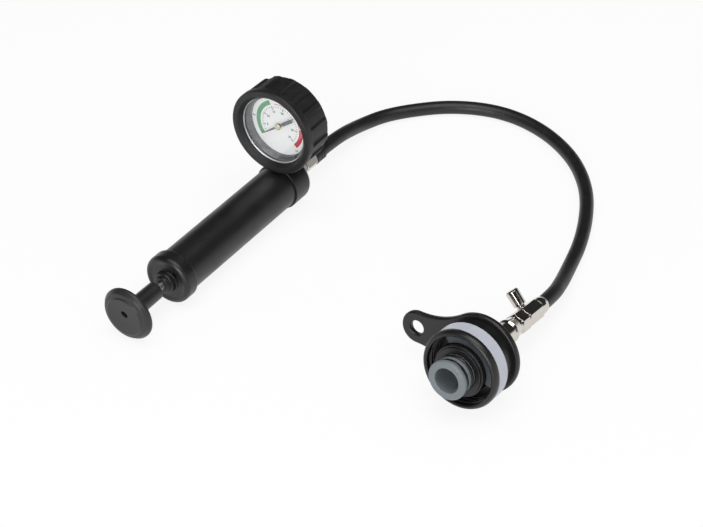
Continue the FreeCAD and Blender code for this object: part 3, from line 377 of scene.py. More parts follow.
# both ends of the hose: a crimped sleeve on the pump's side, a tapered one on the valve's side
sleeveSize = {"start": 262.5, "end": 276.0, "radius": 7.5, "union": 255.5, "flange": 4.6, "shoulder": 259.5,
              "neck": 3.6, "bore": 1.75, "floor": 264.5, "hose": 6.3, "crimp": 0.5, "crimpHalf": 0.9,
              "jaws": 8, "jawDepth": 0.12}


def addCrimpSleeve():
    # lathed: a nipple with its flange, and a sleeve with two pressed rings
    p = sleeveSize
    third, half = (p["end"] - p["floor"]) / 3, p["crimpHalf"]
    rings = []
    for middle in (p["floor"] + third, p["floor"] + 2 * third):
        rings += [(middle - half, p["radius"], 0.3), (middle, p["radius"] - p["crimp"], 0.5),
                  (middle + half, p["radius"], 0.3)]
    line = outline([
        (p["union"], p["bore"]), (p["union"], p["flange"], 0.3), (p["shoulder"], p["flange"]),
        (p["shoulder"], p["neck"]), (p["start"], p["neck"]), (p["start"], p["radius"], 0.8), *rings,
        (p["end"], p["radius"], 0.5), (p["end"], p["hose"], 0.1), (p["floor"], p["hose"]), (p["floor"], p["bore"]),
    ], 0.8)

    def crimped(s, r, a):
        # shallow flats of the crimping jaws: the skin sinks where cos(jaws * a) is high
        flat = p["jawDepth"] * smooth(np.cos(p["jaws"] * a), 0.2, 1.0)
        flat = flat * smooth(r, p["radius"] - 0.8, p["radius"] - 0.3)
        return s, r - flat

    surface = lathe(line, 192, crimped)
    return addPiece("crimpSleeve", surface, pump, "root", "black_tube", powderCoat, "pump_ferrule")


taperSize = {"start": 134.5, "end": 144.0, "radius": 7.8, "mouth": 6.9, "grip": 136.5, "hose": 6.3,
             "bore": 2.6, "thread": 5.0, "threadStart": 126.5, "flats": 14.4, "turn": 75.0,
             "flatStart": (0.8, 1.6), "flatEnd": (3.4, 2.0)}


def addTaperSleeve():
    # lathed: a threaded stub and a sleeve that tapers to the hose
    p = taperSize
    line = outline([
        (p["threadStart"], p["bore"]), (p["threadStart"], p["thread"], 0.4), (p["start"], p["thread"]),
        (p["start"], p["radius"], 0.4), (p["start"] + 5.4, p["radius"], 1.4), (p["end"], p["mouth"], 0.4),
        (p["end"], p["hose"], 0.1), (p["grip"], p["hose"]), (p["grip"], p["bore"]),
    ], 0.4)

    def pressed(s, r, a):
        # six flats pressed on the sleeve's middle, run out before both ends
        span = smooth(s, p["start"] + p["flatStart"][0], p["start"] + p["flatStart"][1])
        span = span * (1 - smooth(s, p["end"] - p["flatEnd"][0], p["end"] - p["flatEnd"][1]))
        flat = np.minimum(r, hexRadius(a, p["flats"], math.radians(p["turn"])))
        return s, r + (flat - r) * span

    surface = lathe(line, 192, pressed)
    return addPiece("taperSleeve", surface, adapter, "root", "nickel", nickel, "cap_ferrule")


addCamera()
hose = addHose()
ends = [addCrimpSleeve(), addTaperSleeve()]
print("hose and its sleeves")

# knob of the plunger, with its moulded sleeve and a short slot in the face
knobSize = {"face": 6.0, "back": 5.0, "radius": 23.6, "band": 1.4, "sleeve": 7.9, "sleeveEnd": 36.0,
            "disc": 16.8, "dish": 0.6, "step": 1.1, "shoulder": 4.0, "shoulderRadius": 21.0, "rod": 4.02,
            "rodSeat": 5.0, "slot": 6.2, "slotWidth": 4.6, "slotDepth": 3.2, "slotTurn": 28.0,
            "slotMiddle": (-0.5, 2.8)}


def addKnob():
    # lathed: a dished face in a stepped rim, and a back that sweeps into the sleeve round the rod
    p = knobSize
    line = outline([
        (-p["face"] + p["dish"], 0), (-p["face"] + p["dish"], p["disc"] * 0.3, 2 * p["disc"]),
        (-p["face"], p["disc"], 0.5), (-p["face"] + p["step"], p["disc"] + 0.9, 0.4),
        (-p["shoulder"], p["shoulderRadius"], 2.0), (-0.8, p["radius"], 1.6), (p["band"], p["radius"], 0.5),
        (p["band"] + 0.6, p["radius"] - 0.9, 0.3), (p["back"] - 1.2, p["radius"] - 3.0, 1.5),
        (p["back"] + 3.2, p["sleeve"] + 0.3, 5.0), (p["sleeveEnd"], p["sleeve"], 0.8), (p["sleeveEnd"], p["rod"]),
        (p["rodSeat"], p["rod"]), (p["rodSeat"], 0),
    ], 0.25)
    half, wide = (p["slot"] - p["slotWidth"]) / 2, p["slotWidth"] / 2
    turn = math.radians(p["slotTurn"])

    def slotted(s, r, a):
        # the face sinks within half the slot's width of the line between its two ends
        y, z = r * np.cos(a) - p["slotMiddle"][0], r * np.sin(a) - p["slotMiddle"][1]
        along, across = y * math.cos(turn) + z * math.sin(turn), z * math.cos(turn) - y * math.sin(turn)
        away = np.hypot(np.maximum(np.abs(along) - half, 0), across)
        face = (s < -p["face"] + 1.0) & (r < 8)
        return s + np.where(face, p["slotDepth"] * (1 - smooth(away, wide - 0.2, wide + 0.15)), 0), r

    surface = lathe(line, 200, slotted)
    return addPiece("handKnob", surface, pump, "plunger", "black_moulded", polished, "plunger_handle")


barrelSize = {"start": 56.0, "end": 213.5, "radius": 19.7, "bore": 16.5, "seat": 18.9, "skirt": 65.0,
              "head": 209.0}


def addBarrel():
    # lathed: a tube turned down at both ends
    p = barrelSize
    line = outline([
        (p["start"], p["bore"], 0.3), (p["start"], p["seat"], 0.3), (p["skirt"], p["seat"]),
        (p["skirt"], p["radius"]), (p["head"], p["radius"]), (p["head"], p["seat"]),
        (p["end"], p["seat"], 0.3), (p["end"], p["bore"], 0.3),
    ], 6.0)
    return addPiece("barrelTube", lathe(line, 192), pump, "root", "black_tube", powderCoat, "barrel")


coverSize = {"nose": 43.5, "collar": 46.0, "recess": 50.8, "wall": 56.0, "skirt": 65.0, "noseRadius": 7.1,
             "collarRadius": 9.7, "crest": 19.2, "dish": 0.8, "radius": 22.2, "taper": 1.5, "seat": 18.92,
             "bush": 6.42, "rod": 4.3, "vent": 1.9, "ventReach": 12.3, "ventTurn": 131.0, "ventDepth": 4.4}


def addFrontCover():
    # lathed: a skirt over the barrel, a dished face, a collar and a nose
    p = coverSize
    line = outline([
        (p["nose"], p["rod"], 0.3), (p["nose"], p["noseRadius"], 0.8), (p["collar"], p["noseRadius"] + 0.2, 0.5),
        (p["collar"], p["collarRadius"], 1.0), (p["recess"], p["collarRadius"] + 0.3, 0.6),
        (p["recess"], p["crest"] - 3.4, 1.5), (p["recess"] - p["dish"], p["crest"], 3.0),
        (p["recess"] + 1.4, p["radius"] - 0.4, 3.2), (p["recess"] + 3.4, p["radius"], 3.0),
        (p["skirt"] - p["taper"], p["radius"], 1.5), (p["skirt"], p["seat"] + 1.1, 0.4), (p["skirt"], p["seat"]),
        (p["wall"], p["seat"]), (p["wall"], p["bush"]), (p["collar"], p["bush"]), (p["collar"], p["rod"]),
    ], 0.4)
    turn = math.radians(p["ventTurn"])
    middle = (p["ventReach"] * math.cos(turn), p["ventReach"] * math.sin(turn))

    def vented(s, r, a):
        # a round air hole sunk in the dished face
        away = np.hypot(r * np.cos(a) - middle[0], r * np.sin(a) - middle[1])
        face = (s < p["recess"] + 1) & (r > p["collarRadius"])
        return s + np.where(face, p["ventDepth"] * (1 - smooth(away, p["vent"] - 0.2, p["vent"] + 0.2)), 0), r

    surface = lathe(line, 288, vented)
    return addPiece("frontCover", surface, pump, "root", "black_moulded", moulded, "front_cap")


headSize = {"front": 209.0, "floor": 215.0, "rear": 232.0, "radius": 21.25, "round": 5.0, "seat": 18.92,
            "port": 5.02, "portFloor": 226.0, "valve": 3.2, "valveSeat": 218.0, "inlet": 1.5,
            "stem": 221.0, "flat": 7.6, "flatHeight": 19.79}


def addHead():
    # lathed: a cup over the barrel's end, with the valve's seat and the hose's port inside
    p = headSize
    line = outline([
        (p["front"], p["seat"]), (p["front"], p["radius"], 0.5), (p["rear"], p["radius"], p["round"]),
        (p["rear"], p["port"]), (p["portFloor"], p["port"]), (p["portFloor"], p["valve"]),
        (p["valveSeat"] + p["valve"] - p["inlet"], p["valve"]), (p["valveSeat"], p["inlet"]),
        (p["floor"], p["inlet"]), (p["floor"], p["seat"]),
    ], 0.6)

    def flattened(s, r, a):
        # a round flat on top, under the gauge's stem
        inside = np.hypot(s - p["stem"], r * np.cos(a)) < p["flat"]
        limit = p["flatHeight"] / np.maximum(np.sin(a), 0.2)
        return s, np.where(inside & (np.sin(a) > 0.5), np.minimum(r, limit), r)

    surface = lathe(line, 240, flattened)
    return addPiece("pumpHead", surface, pump, "root", "black_moulded", moulded, "head")


# hexagonal union screwed into the head, and the loose nut that holds the hose's nipple
unionSize = {"portFloor": 226.0, "collar": 233.5, "hex": 236.0, "hexEnd": 246.0, "end": 255.5, "flats": 14.0,
             "bore": 1.75, "thread": 5.0, "tail": 4.6}
nutSize = {"start": 247.0, "end": 262.0, "shoulder": 259.5, "flats": 14.0, "bore": 4.62, "neck": 3.65}


def addUnion():
    # lathed, then cut to a hexagon's radius at each angle
    p = unionSize
    collar = p["flats"] / 2 - 0.4
    line = outline([(p["portFloor"], p["bore"]), (p["portFloor"], p["thread"], 0.5), (p["collar"], p["thread"]),
                    (p["collar"], collar, 0.3), (p["hex"], collar)]
                   + hexLine(p["flats"], p["hex"] + 0.05, p["hexEnd"])
                   + [(p["hexEnd"], p["tail"]), (p["end"], p["tail"], 0.6), (p["end"], p["bore"])], 0.3)
    surface = lathe(line, 192, hexCut(p["flats"]))
    return addPiece("unionHex", surface, pump, "root", "nickel", nickel, "hose_union")


def addNut():
    # lathed, then cut to a hexagon's radius at each angle
    p = nutSize
    line = outline(hexLine(p["flats"], p["start"], p["end"]) + [
        (p["end"], p["neck"]), (p["shoulder"], p["neck"]), (p["shoulder"], p["bore"]), (p["start"], p["bore"]),
    ], 0.3)
    surface = lathe(line, 192, hexCut(p["flats"]))
    return addPiece("couplingNut", surface, pump, "root", "nickel", nickel, "union_nut")


addKnob()
addBarrel()
addFrontCover()
addHead()
addUnion()
addNut()
print("pump")

# rubber boot pressed round the gauge: a smooth front ring and fifteen lobes behind it
bootSize = {"front": 200.5, "ring": 207.0, "rear": 233.0, "radius": 40.2, "slope": 5.4, "window": 31.5,
            "bezel": 205.0, "case": 34.02, "caseRear": 231.0, "hole": 26.0, "lobes": 15, "groove": 11.2,
            "depth": 2.8, "turn": 81.9, "flank": (0.7, 0.4), "fade": (0.1, 1.3)}


def addBoot():
    # lathed: a sloped front ring, a wall and an open back
    p = bootSize
    line = outline([
        (p["front"], p["radius"] - p["slope"], 0.8), (p["front"], p["radius"], 1.6), (p["ring"], p["radius"], 0.6),
        (p["ring"] + 0.6, p["radius"] - 0.5, 0.3), (p["rear"], p["radius"] - 0.9, 3.5), (p["rear"], p["hole"], 0.6),
        (p["caseRear"], p["hole"], 0.4), (p["caseRear"], p["case"]), (p["bezel"], p["case"]),
        (p["bezel"], p["window"], 0.4), (p["bezel"] - 1.0, p["window"], 0.5),
    ], 0.8)
    pitch = 2 * math.pi / p["lobes"]

    def lobed(s, r, a):
        # grooves with soft edges, starting behind the ring and running out at the back
        away = np.abs((a - math.radians(p["turn"]) + pitch / 2) % pitch - pitch / 2) * p["radius"]
        across = 1 - smooth(away, p["groove"] / 2 - p["flank"][0], p["groove"] / 2 + p["flank"][1])
        along = smooth(s, p["ring"] + p["fade"][0], p["ring"] + p["fade"][1])
        return s, np.minimum(r, p["radius"] + 0.01 - p["depth"] * across * along)

    surface = lathe(line, 432, lobed, math.radians(p["turn"]))
    return addPiece("gaugeBoot", surface, gauge, "root", "black_rubber", bootRubber, "gauge_boot")


dialSize = {"bezel": 205.0, "pane": 206.5, "case": 208.5, "bezelRear": 211.5, "window": 31.0, "radius": 34.0,
            "skin": 33.32, "face": 215.6, "cone": 211.5, "edge": 28.5, "wall": 31.98, "print": 0.05}


def addBezel():
    # lathed: a thin ring with its lip turned in over the window
    p = dialSize
    line = outline([
        (p["bezel"], p["window"], 0.5), (p["bezel"], p["radius"], 0.6), (p["bezelRear"], p["radius"]),
        (p["bezelRear"], p["skin"]), (p["pane"], p["skin"]), (p["pane"], p["window"], 0.4),
    ], 1.0)
    return addPiece("bezel", lathe(line, 256), gauge, "root", "nickel", brightSteel, "bezel_ring")


def addCone():
    # lathed: a ring that slopes from the window down to the dial
    p = dialSize
    line = outline([
        (p["case"], p["window"] - 0.2, 0.3), (p["case"], p["wall"]), (p["face"], p["wall"]),
        (p["face"], p["edge"] + 0.2, 0.1), (p["cone"], p["edge"], 0.3),
    ], 1.0)
    return addPiece("dialCone", lathe(line, 256), gauge, "root", "dial_grey", greyStyrene, "dial_ring")


def band(inner, outer, low, high, start, end, rows):
    # a flat closed strip between two radii and two angles, its ends square
    angle = np.radians(180.0 - np.linspace(start, end, rows))
    section = np.array([(low, inner), (low, outer), (high, outer), (high, inner)])
    corners = [np.stack([np.full(rows, s), r * np.cos(angle), r * np.sin(angle)], -1) for s, r in section]
    points = np.stack(corners, 1)
    i = np.arange(rows - 1)[:, None] * 4
    side = np.arange(4)[None, :]
    beside = (side + 1) % 4
    quads = np.stack([i + side, i + beside, i + 4 + beside, i + 4 + side], -1).reshape(-1, 4)
    caps = np.array([[3, 2, 1, 0], [0, 1, 2, 3]]) + np.array([[0], [4 * (rows - 1)]])
    quads = np.concatenate([quads, caps])
    if start < end:
        quads = quads[:, ::-1]
    return points.reshape(-1, 3), quads, np.zeros((0, 3), int)


scaleSize = {"rest": 218.6, "sweep": 262.6, "safe": 117.0, "warn": 105.0, "danger": 7.0, "radius": 22.2,
             "width": 4.2, "thin": 0.6, "first": 195.0, "pitch": 7.8, "tickEnd": 18.4, "major": (3.2, 0.375),
             "minor": (1.3, 0.225), "numbers": 13.1, "size": 3.0, "outer": 26.6, "outerStep": 7.252, "small": 2.3,
             "thick": 0.02, "bold": 0.07}


def addDialPrint():
    # green arc, red arc with its two thin lines, and ticks: each a strip between two radii and two angles
    p, low = scaleSize, dialSize["face"] - dialSize["print"]
    high = dialSize["face"] - 0.01
    inner, outer = p["radius"] - p["width"] / 2, p["radius"] + p["width"] / 2
    end = p["rest"] - p["sweep"]
    safe = band(inner, outer, low, high, p["rest"], p["safe"], 90)
    addPiece("safeArc", safe, gauge, "root", "dial_white", greenInk)
    danger = band(inner, outer, low, high, p["danger"], end, 50)
    edges = [band(r, r + p["thin"], low, high, p["warn"], p["danger"], 90) for r in (inner, outer - p["thin"])]
    addPiece("dangerArc", joined(danger, *edges), gauge, "root", "dial_white", redInk)
    ticks = []
    for mark in range(2, 36):
        turn = scaleTurn(mark)
        reach, half = p["major"] if mark % 5 == 0 else p["minor"]
        wide = math.degrees(half / p["tickEnd"])
        ticks.append(band(p["tickEnd"] - reach, p["tickEnd"], low, high, turn + wide, turn - wide, 3))
    addPiece("scaleTicks", joined(*ticks), gauge, "root", "dial_white", blackInk)


def scaleTurn(mark):
    # the needle's angle at a mark of the inner scale
    return scaleSize["first"] - scaleSize["pitch"] * (mark - 5)


def curveMesh(curve, toLocal, place):
    # the flat curve as a mesh, each of its points carried into a group's frame
    maker = addObject(curve.name + "Curve", curve)
    mesh = bpy.data.meshes.new_from_object(maker.evaluated_get(bpy.context.evaluated_depsgraph_get()))
    bpy.data.objects.remove(maker)
    points = np.zeros(len(mesh.vertices) * 3)
    mesh.vertices.foreach_get("co", points)
    local = np.column_stack(toLocal(*points.reshape(-1, 3).T))
    mesh.vertices.foreach_set("co", toRow(local, place).ravel())
    mesh.update()
    return mesh


def addNumber(text, size, radius, turn, finish, name):
    # generic figures, upright, centred on their tick's radius
    curve = bpy.data.curves.new(name, "FONT")
    curve.body = text
    curve.size = size
    curve.align_x = "CENTER"
    curve.align_y = "CENTER"
    curve.extrude, curve.offset = scaleSize["thick"], scaleSize["bold"]
    curve.resolution_u = 3
    right, up = radius * math.cos(math.radians(turn)), radius * math.sin(math.radians(turn))
    mesh = curveMesh(curve, lambda x, y, z: (dialSize["face"] - 0.03 - z, -(right + x), up + y), gauge)
    finishPiece(name, mesh, "root", finish, ())


def addNumbers():
    p = scaleSize
    for mark in range(5, 36, 5):
        addNumber(str(mark), p["size"], p["numbers"], scaleTurn(mark), blackInk, "figure" + str(mark))
    for step in range(1, 6):
        figure = ("%.1f" % (0.5 * step)).replace(".0", "")
        turn = scaleTurn(p["outerStep"] * step)
        addNumber(figure, p["small"], p["outer"], turn, blackInk, "outerFigure" + str(step))


pointerSize = {"plane": 212.6, "thick": 0.4, "radius": 2.9, "height": 2.0, "spindle": 0.82}


def addPointerHub():
    # lathed: a cap over the needle's middle, with a waist through it down to the spindle
    p = pointerSize
    waist, rear = p["radius"] * 0.55 - 0.02, p["plane"] + p["thick"] + 1.0
    line = outline([
        (p["plane"] - p["height"] * 0.6, 0), (p["plane"] - p["height"] * 0.6, p["radius"], 0.6),
        (p["plane"], p["radius"]), (p["plane"], waist), (rear, waist),
        (rear, p["spindle"]), (p["plane"], p["spindle"]), (p["plane"], 0),
    ], 0.5)
    return addPiece("pointerHub", lathe(line, 64), gauge, "needle_set", "brass", turnedBrass, "needle_boss")


addBoot()
addBezel()
addCone()
addDialPrint()
addNumbers()
addPointerHub()
print("gauge")

nozzleSize = {"bore": 10.6, "boreEnd": 44.0, "flange": 16.6, "flangeEnd": 4.0, "chamfer": 1.0, "groove": 12.5,
              "grooveWide": 4.35, "land": 15.6, "landWide": 2.9, "coreRear": 33.85, "tail": 13.5, "tailEnd": 63.0,
              "clip": 60.15, "clipGroove": 12.4, "clipWide": 1.2, "thread": 8.02, "wire": 1.75}


def addNozzle():
    # lathed: flange, two grooves with a land between, and a tail with the clip's groove; each seal is a round
    # wire carried round the axis
    p = nozzleSize
    grooveEnd = p["flangeEnd"] + p["grooveWide"]
    landEnd = grooveEnd + p["landWide"]
    line = outline([
        (0, p["bore"], 0.8), (0, p["flange"] - p["chamfer"], 0.6), (p["chamfer"], p["flange"], 0.8),
        (p["flangeEnd"], p["flange"], 0.5), (p["flangeEnd"], p["groove"], 0.2), (grooveEnd, p["groove"], 0.2),
        (grooveEnd, p["land"], 0.4), (landEnd, p["land"], 0.4), (landEnd, p["groove"], 0.2),
        (landEnd + p["grooveWide"], p["groove"], 0.2), (landEnd + p["grooveWide"], p["land"], 0.4),
        (p["coreRear"], p["land"]), (p["coreRear"], p["tail"]), (p["clip"], p["tail"]),
        (p["clip"], p["clipGroove"]), (p["clip"] + p["clipWide"], p["clipGroove"]),
        (p["clip"] + p["clipWide"], p["tail"]),
        (p["tailEnd"], p["tail"], 0.5), (p["tailEnd"], p["thread"]), (p["boreEnd"], p["thread"]),
        (p["boreEnd"], p["bore"], 1.0),
    ], 1.5)
    addPiece("neckNozzle", lathe(line, 224), adapter, "root", "grey_moulded", greyNylon, "nozzle")
    for name, start, node in (("sealFront", p["flangeEnd"], "o_ring_front"), ("sealRear", landEnd, "o_ring_rear")):
        middle, wire = start + p["grooveWide"] / 2, p["wire"]
        turn = np.linspace(0, -2 * math.pi, 28, endpoint=False)
        ring = np.column_stack([middle + wire * np.cos(turn), p["groove"] + wire + wire * np.sin(turn)])
        addPiece(name, lathe(ring, 192), adapter, "root", "seal_rubber", sealRubber, node)


coreSize = {"front": 17.5, "step": 2.0, "stepRadius": 20.6, "radius": 22.0, "bore": 15.62, "rear": 33.85}


def addCore():
    # lathed: a stepped ring on the nozzle
    p = coreSize
    line = outline([
        (p["front"] - p["step"], p["bore"], 0.2), (p["front"] - p["step"], p["stepRadius"], 0.5),
        (p["front"], p["stepRadius"], 0.2), (p["front"], p["radius"], 0.9), (p["rear"] - 1.0, p["radius"], 0.4),
        (p["rear"], p["radius"] - 1.0), (p["rear"], p["bore"]),
    ], 1.0)
    return addPiece("coreRing", lathe(line, 224), adapter, "root", "black_moulded", moulded, "core_ring")


shellSize = {"front": 17.0, "radius": 33.6, "round": 3.3, "slope": 1.4, "bore": 29.2, "floor": 34.0, "band": 23.3,
             "bandEnd": 35.6, "seat": 31.5, "neck": 29.5, "neckEnd": 49.5, "neckInner": 26.5, "web": 37.5,
             "hub": 17.0, "hubEnd": 60.0, "tail": 13.55, "pitch": 4.2, "ridge": 1.3, "crest": (0.35, 1.25),
             "threadStart": (19.5, 21.5), "threadEnd": (30.5, 32.5), "ribs": 6, "ribHalf": 1.0}
discSize = {"front": 48.5, "thick": 5.5, "radius": 34.0, "round": 1.8, "inner": 26.5, "reach": 59.2, "drop": -2.2,
            "end": 14.0, "sweep": 60.0, "hole": 6.0}


def addShell():
    # lathed: a skirt with a seat for the band, a neck and a hub, with ribs between neck and hub
    p = shellSize
    line = outline([
        (p["front"] + 1.0, p["bore"], 0.5), (p["front"], p["bore"] + p["slope"], 0.7),
        (p["front"] + p["round"] * 0.23, p["radius"] - p["round"] * 0.35, 1.6),
        (p["front"] + p["round"], p["radius"], 3.0), (p["band"], p["radius"], 0.5),
        (p["band"], p["seat"]), (p["bandEnd"], p["seat"]), (p["bandEnd"], p["neck"], 0.2),
        (p["neckEnd"], p["neck"]), (p["neckEnd"], p["neckInner"]), (p["web"], p["neckInner"], 0.5),
        (p["web"], p["hub"], 1.0), (p["hubEnd"], p["hub"], 0.8), (p["hubEnd"], p["tail"], 0.3),
        (p["floor"], p["tail"]), (p["floor"], p["bore"], 0.8),
    ], 0.45)

    def threaded(s, r, a):
        # a round-crested screw thread inside the skirt, faded at both ends
        phase = ((s / p["pitch"] - a / (2 * math.pi)) % 1.0 - 0.5) * p["pitch"]
        ridge = p["ridge"] * (1 - smooth(np.abs(phase), *p["crest"]))
        span = smooth(s, *p["threadStart"]) * (1 - smooth(s, *p["threadEnd"]))
        inside = (r < p["bore"] + 0.05) & (r > p["bore"] - 0.9) & (s < p["floor"])
        return s, np.where(inside, r - ridge * span, r)

    ribs = []
    for index in range(p["ribs"]):
        turn = math.radians(30 + 360 / p["ribs"] * index) + math.pi / 2
        ribs.append(block(p["web"] - 0.3, p["neckEnd"] - 0.5, p["hub"] - 0.4, p["neckInner"] + 0.4,
                          p["ribHalf"], turn))
    surface = joined(lathe(line, 256, threaded), *ribs)
    return addPiece("capShell", surface, adapter, "cap", "black_moulded", moulded, "cap_shell")


def block(start, end, inner, outer, half, turn):
    # a rib between two stations and two radii, at one angle
    corners = np.array([(s, r, w) for s in (start, end) for r in (inner, outer) for w in (-half, half)])
    y = corners[:, 1] * math.cos(turn) - corners[:, 2] * math.sin(turn)
    z = corners[:, 1] * math.sin(turn) + corners[:, 2] * math.cos(turn)
    quads = np.array([[0, 1, 3, 2], [4, 6, 7, 5], [0, 4, 5, 1], [2, 3, 7, 6], [0, 2, 6, 4], [1, 5, 7, 3]])
    return np.column_stack([corners[:, 0], y, z]), quads, np.zeros((0, 3), int)


def arc(centre, radius, first, last, count):
    # points of a circle between two angles
    turn = np.linspace(first, last, count)
    return np.column_stack([centre[0] + radius * np.cos(turn), centre[1] + radius * np.sin(turn)])


def leverOutline(p, inset):
    # the disc, two arcs that sweep from it, and the rounded end of the lever
    end = np.array([p["reach"], p["drop"]])
    spacing = np.linalg.norm(end)
    along = end / spacing
    across = np.array([-along[1], along[0]])
    disc, tip, sweep = p["radius"] - inset, p["end"] - inset, p["sweep"] + inset
    offset = ((disc + sweep) ** 2 - (tip + sweep) ** 2 + spacing ** 2) / (2 * spacing)
    height = math.sqrt((disc + sweep) ** 2 - offset ** 2)
    lean = math.atan2(height, offset)
    flank = math.atan2(height, offset - spacing)
    base = math.atan2(along[1], along[0])
    upper = along * offset + across * height
    lower = along * offset - across * height
    return np.concatenate([
        arc((0, 0), disc, base + lean, base + 2 * math.pi - lean, 120),
        arc(lower, sweep, base + math.pi - lean, base + math.pi - flank, 24)[1:],
        arc(end, tip, base - flank, base + flank, 60)[1:],
        arc(upper, sweep, base - math.pi + flank, base - math.pi + lean, 24)[1:-1],
    ])


def addDisc():
    # the lever's outline less its two round holes, thickened and rounded at its edges
    p = discSize
    curve = bpy.data.curves.new("gripDisc", "CURVE")
    curve.dimensions = "2D"
    curve.fill_mode = "BOTH"
    half = p["thick"] / 2
    curve.bevel_depth = p["round"]
    curve.bevel_resolution = 4
    curve.extrude = half - p["round"]
    loops = [
        leverOutline(p, p["round"]),
        arc((0, 0), p["inner"] + p["round"], 0, 2 * math.pi, 121)[:-1],
        arc((p["reach"], p["drop"]), p["hole"] + p["round"], 0, 2 * math.pi, 73)[:-1],
    ]
    for loop in loops:
        spline = curve.splines.new("POLY")
        spline.points.add(len(loop) - 1)
        flat = np.column_stack([loop, np.zeros(len(loop)), np.ones(len(loop))])
        spline.points.foreach_set("co", flat.ravel())
        spline.use_cyclic_u = True
    mesh = curveMesh(curve, lambda x, y, z: (p["front"] + half + z, x, y), adapter)
    shadeSmooth(mesh)
    mesh.update()
    finishPiece("gripDisc", mesh, "cap", moulded, ())


# a raised ledge inside the skirt, over part of its round: it stops the lugs of the filler neck; its lighter
# blue-grey is a painted sheen for the lit sector seen there
ledgeSize = {"front": 21.5, "rear": 26.5, "inner": 22.5, "outer": 28.9, "start": 127.0, "end": -10.0}


def addLedge():
    # a strip between two radii and two angles
    p = ledgeSize
    surface = band(p["inner"], p["outer"], p["front"], p["rear"], p["start"], p["end"], 90)
    # the ledge's blue-grey is painted sheen, the look of that sector under the lamp above, not the nylon's own
    # colour
    return addPiece("paintedSheenLedge", surface, adapter, "cap", "black_moulded", ledgePaintedSheen)


bandSize = {"start": 23.3, "end": 35.6, "inner": 31.52, "outer": 33.3}


def addBand():
    # lathed: a plain ring with its outer edges rounded
    p = bandSize
    line = outline([(p["start"], p["inner"]), (p["start"], p["outer"], 0.5), (p["end"], p["outer"], 0.5),
                    (p["end"], p["inner"])], 2.0)
    return addPiece("sizeBand", lathe(line, 256), adapter, "cap", "pale_moulded", paleAcetal, "code_band")


tailSize = {"start": 47.0, "thread": 8.0, "hex": 64.5, "hexEnd": 71.5, "flats": 22.0, "stem": 8.6, "foot": 91.0,
            "footRadius": 10.0, "footEnd": 99.0, "neck": 8.2, "valve": 101.7, "valveThread": 5.0, "end": 110.7,
            "bore": 3.6}


def addTail():
    # lathed, with one hexagon: thread, hexagon, stem, foot and neck
    p = tailSize
    line = outline([(p["start"], p["bore"]), (p["start"], p["thread"], 0.8), (p["hex"], p["thread"])]
                   + hexLine(p["flats"], p["hex"] + 0.01, p["hexEnd"])
                   + [(p["hexEnd"], p["stem"], 1.0), (p["foot"] - 2.0, p["stem"], 1.0),
                      (p["foot"], p["footRadius"], 0.5), (p["footEnd"], p["neck"], 1.0), (p["valve"], p["neck"]),
                      (p["valve"], p["valveThread"]), (p["end"], p["valveThread"], 0.6),
                      (p["end"], p["bore"])], 0.4)
    surface = lathe(line, 192, hexCut(p["flats"]))
    return addPiece("tailFitting", surface, adapter, "root", "nickel", nickel, "tail_adapter")


valveSize = {"start": 101.7, "hexEnd": 113.0, "body": 113.7, "end": 134.5, "flats": 17.0, "bodyFlats": 16.0,
             "waist": 7.7, "bore": 3.6, "thread": 5.02, "frontThread": 110.7, "rearThread": 126.5, "turn": 75.0,
             "bleed": 120.0, "pocket": 4.2, "pocketFloor": 5.0, "bleedTurn": 45.0}


def addValve():
    # lathed: two hexagons with a waist between them and a thread in each end
    p = valveSize
    line = outline(hexLine(p["flats"], p["start"], p["hexEnd"])
                   + [(p["hexEnd"] + 0.05, p["waist"]), (p["body"] - 0.05, p["waist"])]
                   + hexLine(p["bodyFlats"], p["body"], p["end"])
                   + [(p["end"], p["thread"]), (p["rearThread"], p["thread"]), (p["rearThread"], p["bore"]),
                      (p["frontThread"], p["bore"]), (p["frontThread"], p["thread"]),
                      (p["start"], p["thread"])], 0.3)
    out = math.radians(p["bleedTurn"])

    def shaped(s, r, a):
        # two hexagons with one turn, and a round pocket round the bleed stem
        flats = np.where(s < p["hexEnd"] + 0.1, p["flats"], p["bodyFlats"])
        r = np.minimum(r, hexRadius(a, flats, math.radians(p["turn"])))
        side = a - (math.pi / 2 - out)
        height = np.maximum(np.cos(side), 0.1)
        away = np.hypot(s - p["bleed"], r * np.sin(side))
        sink = (1 - smooth(away, p["pocket"] - 0.05, p["pocket"] + 0.25)) * (np.cos(side) > 0.5)
        outer = (r > p["thread"] + 0.6) & (s > p["body"])
        return s, np.where(outer, r + (np.minimum(r, p["pocketFloor"] / height) - r) * sink, r)

    surface = lathe(line, 288, shaped, math.radians(p["turn"]))
    return addPiece("valveBlock", surface, adapter, "root", "nickel", nickel, "valve_body")


buttonSize = {"neck": 3.6, "neckStart": 8.9, "start": 10.5, "radius": 5.65, "length": 14.0, "chamfer": 1.2,
              "stem": 1.52, "blind": 13.9}


def addBleedKnob():
    # lathed: a plain button on its neck, hollow for the stem
    p = buttonSize
    top = p["start"] + p["length"]
    line = outline([
        (p["neckStart"], p["stem"]), (p["neckStart"], p["neck"], 0.2), (p["start"], p["neck"]),
        (p["start"], p["radius"] - 0.3, 0.5), (top - p["chamfer"], p["radius"], 0.5),
        (top, p["radius"] - p["chamfer"], 0.4), (top, 0), (p["blind"], 0), (p["blind"], p["stem"]),
    ], 1.0)
    return addPiece("bleedKnob", lathe(line, 128), bleed, "bleed_button", "nickel", nickel, "bleed_knob")


addNozzle()
addCore()
addShell()
addDisc()
addLedge()
addBand()
addTail()
addValve()
addBleedKnob()
print("cap adapter")

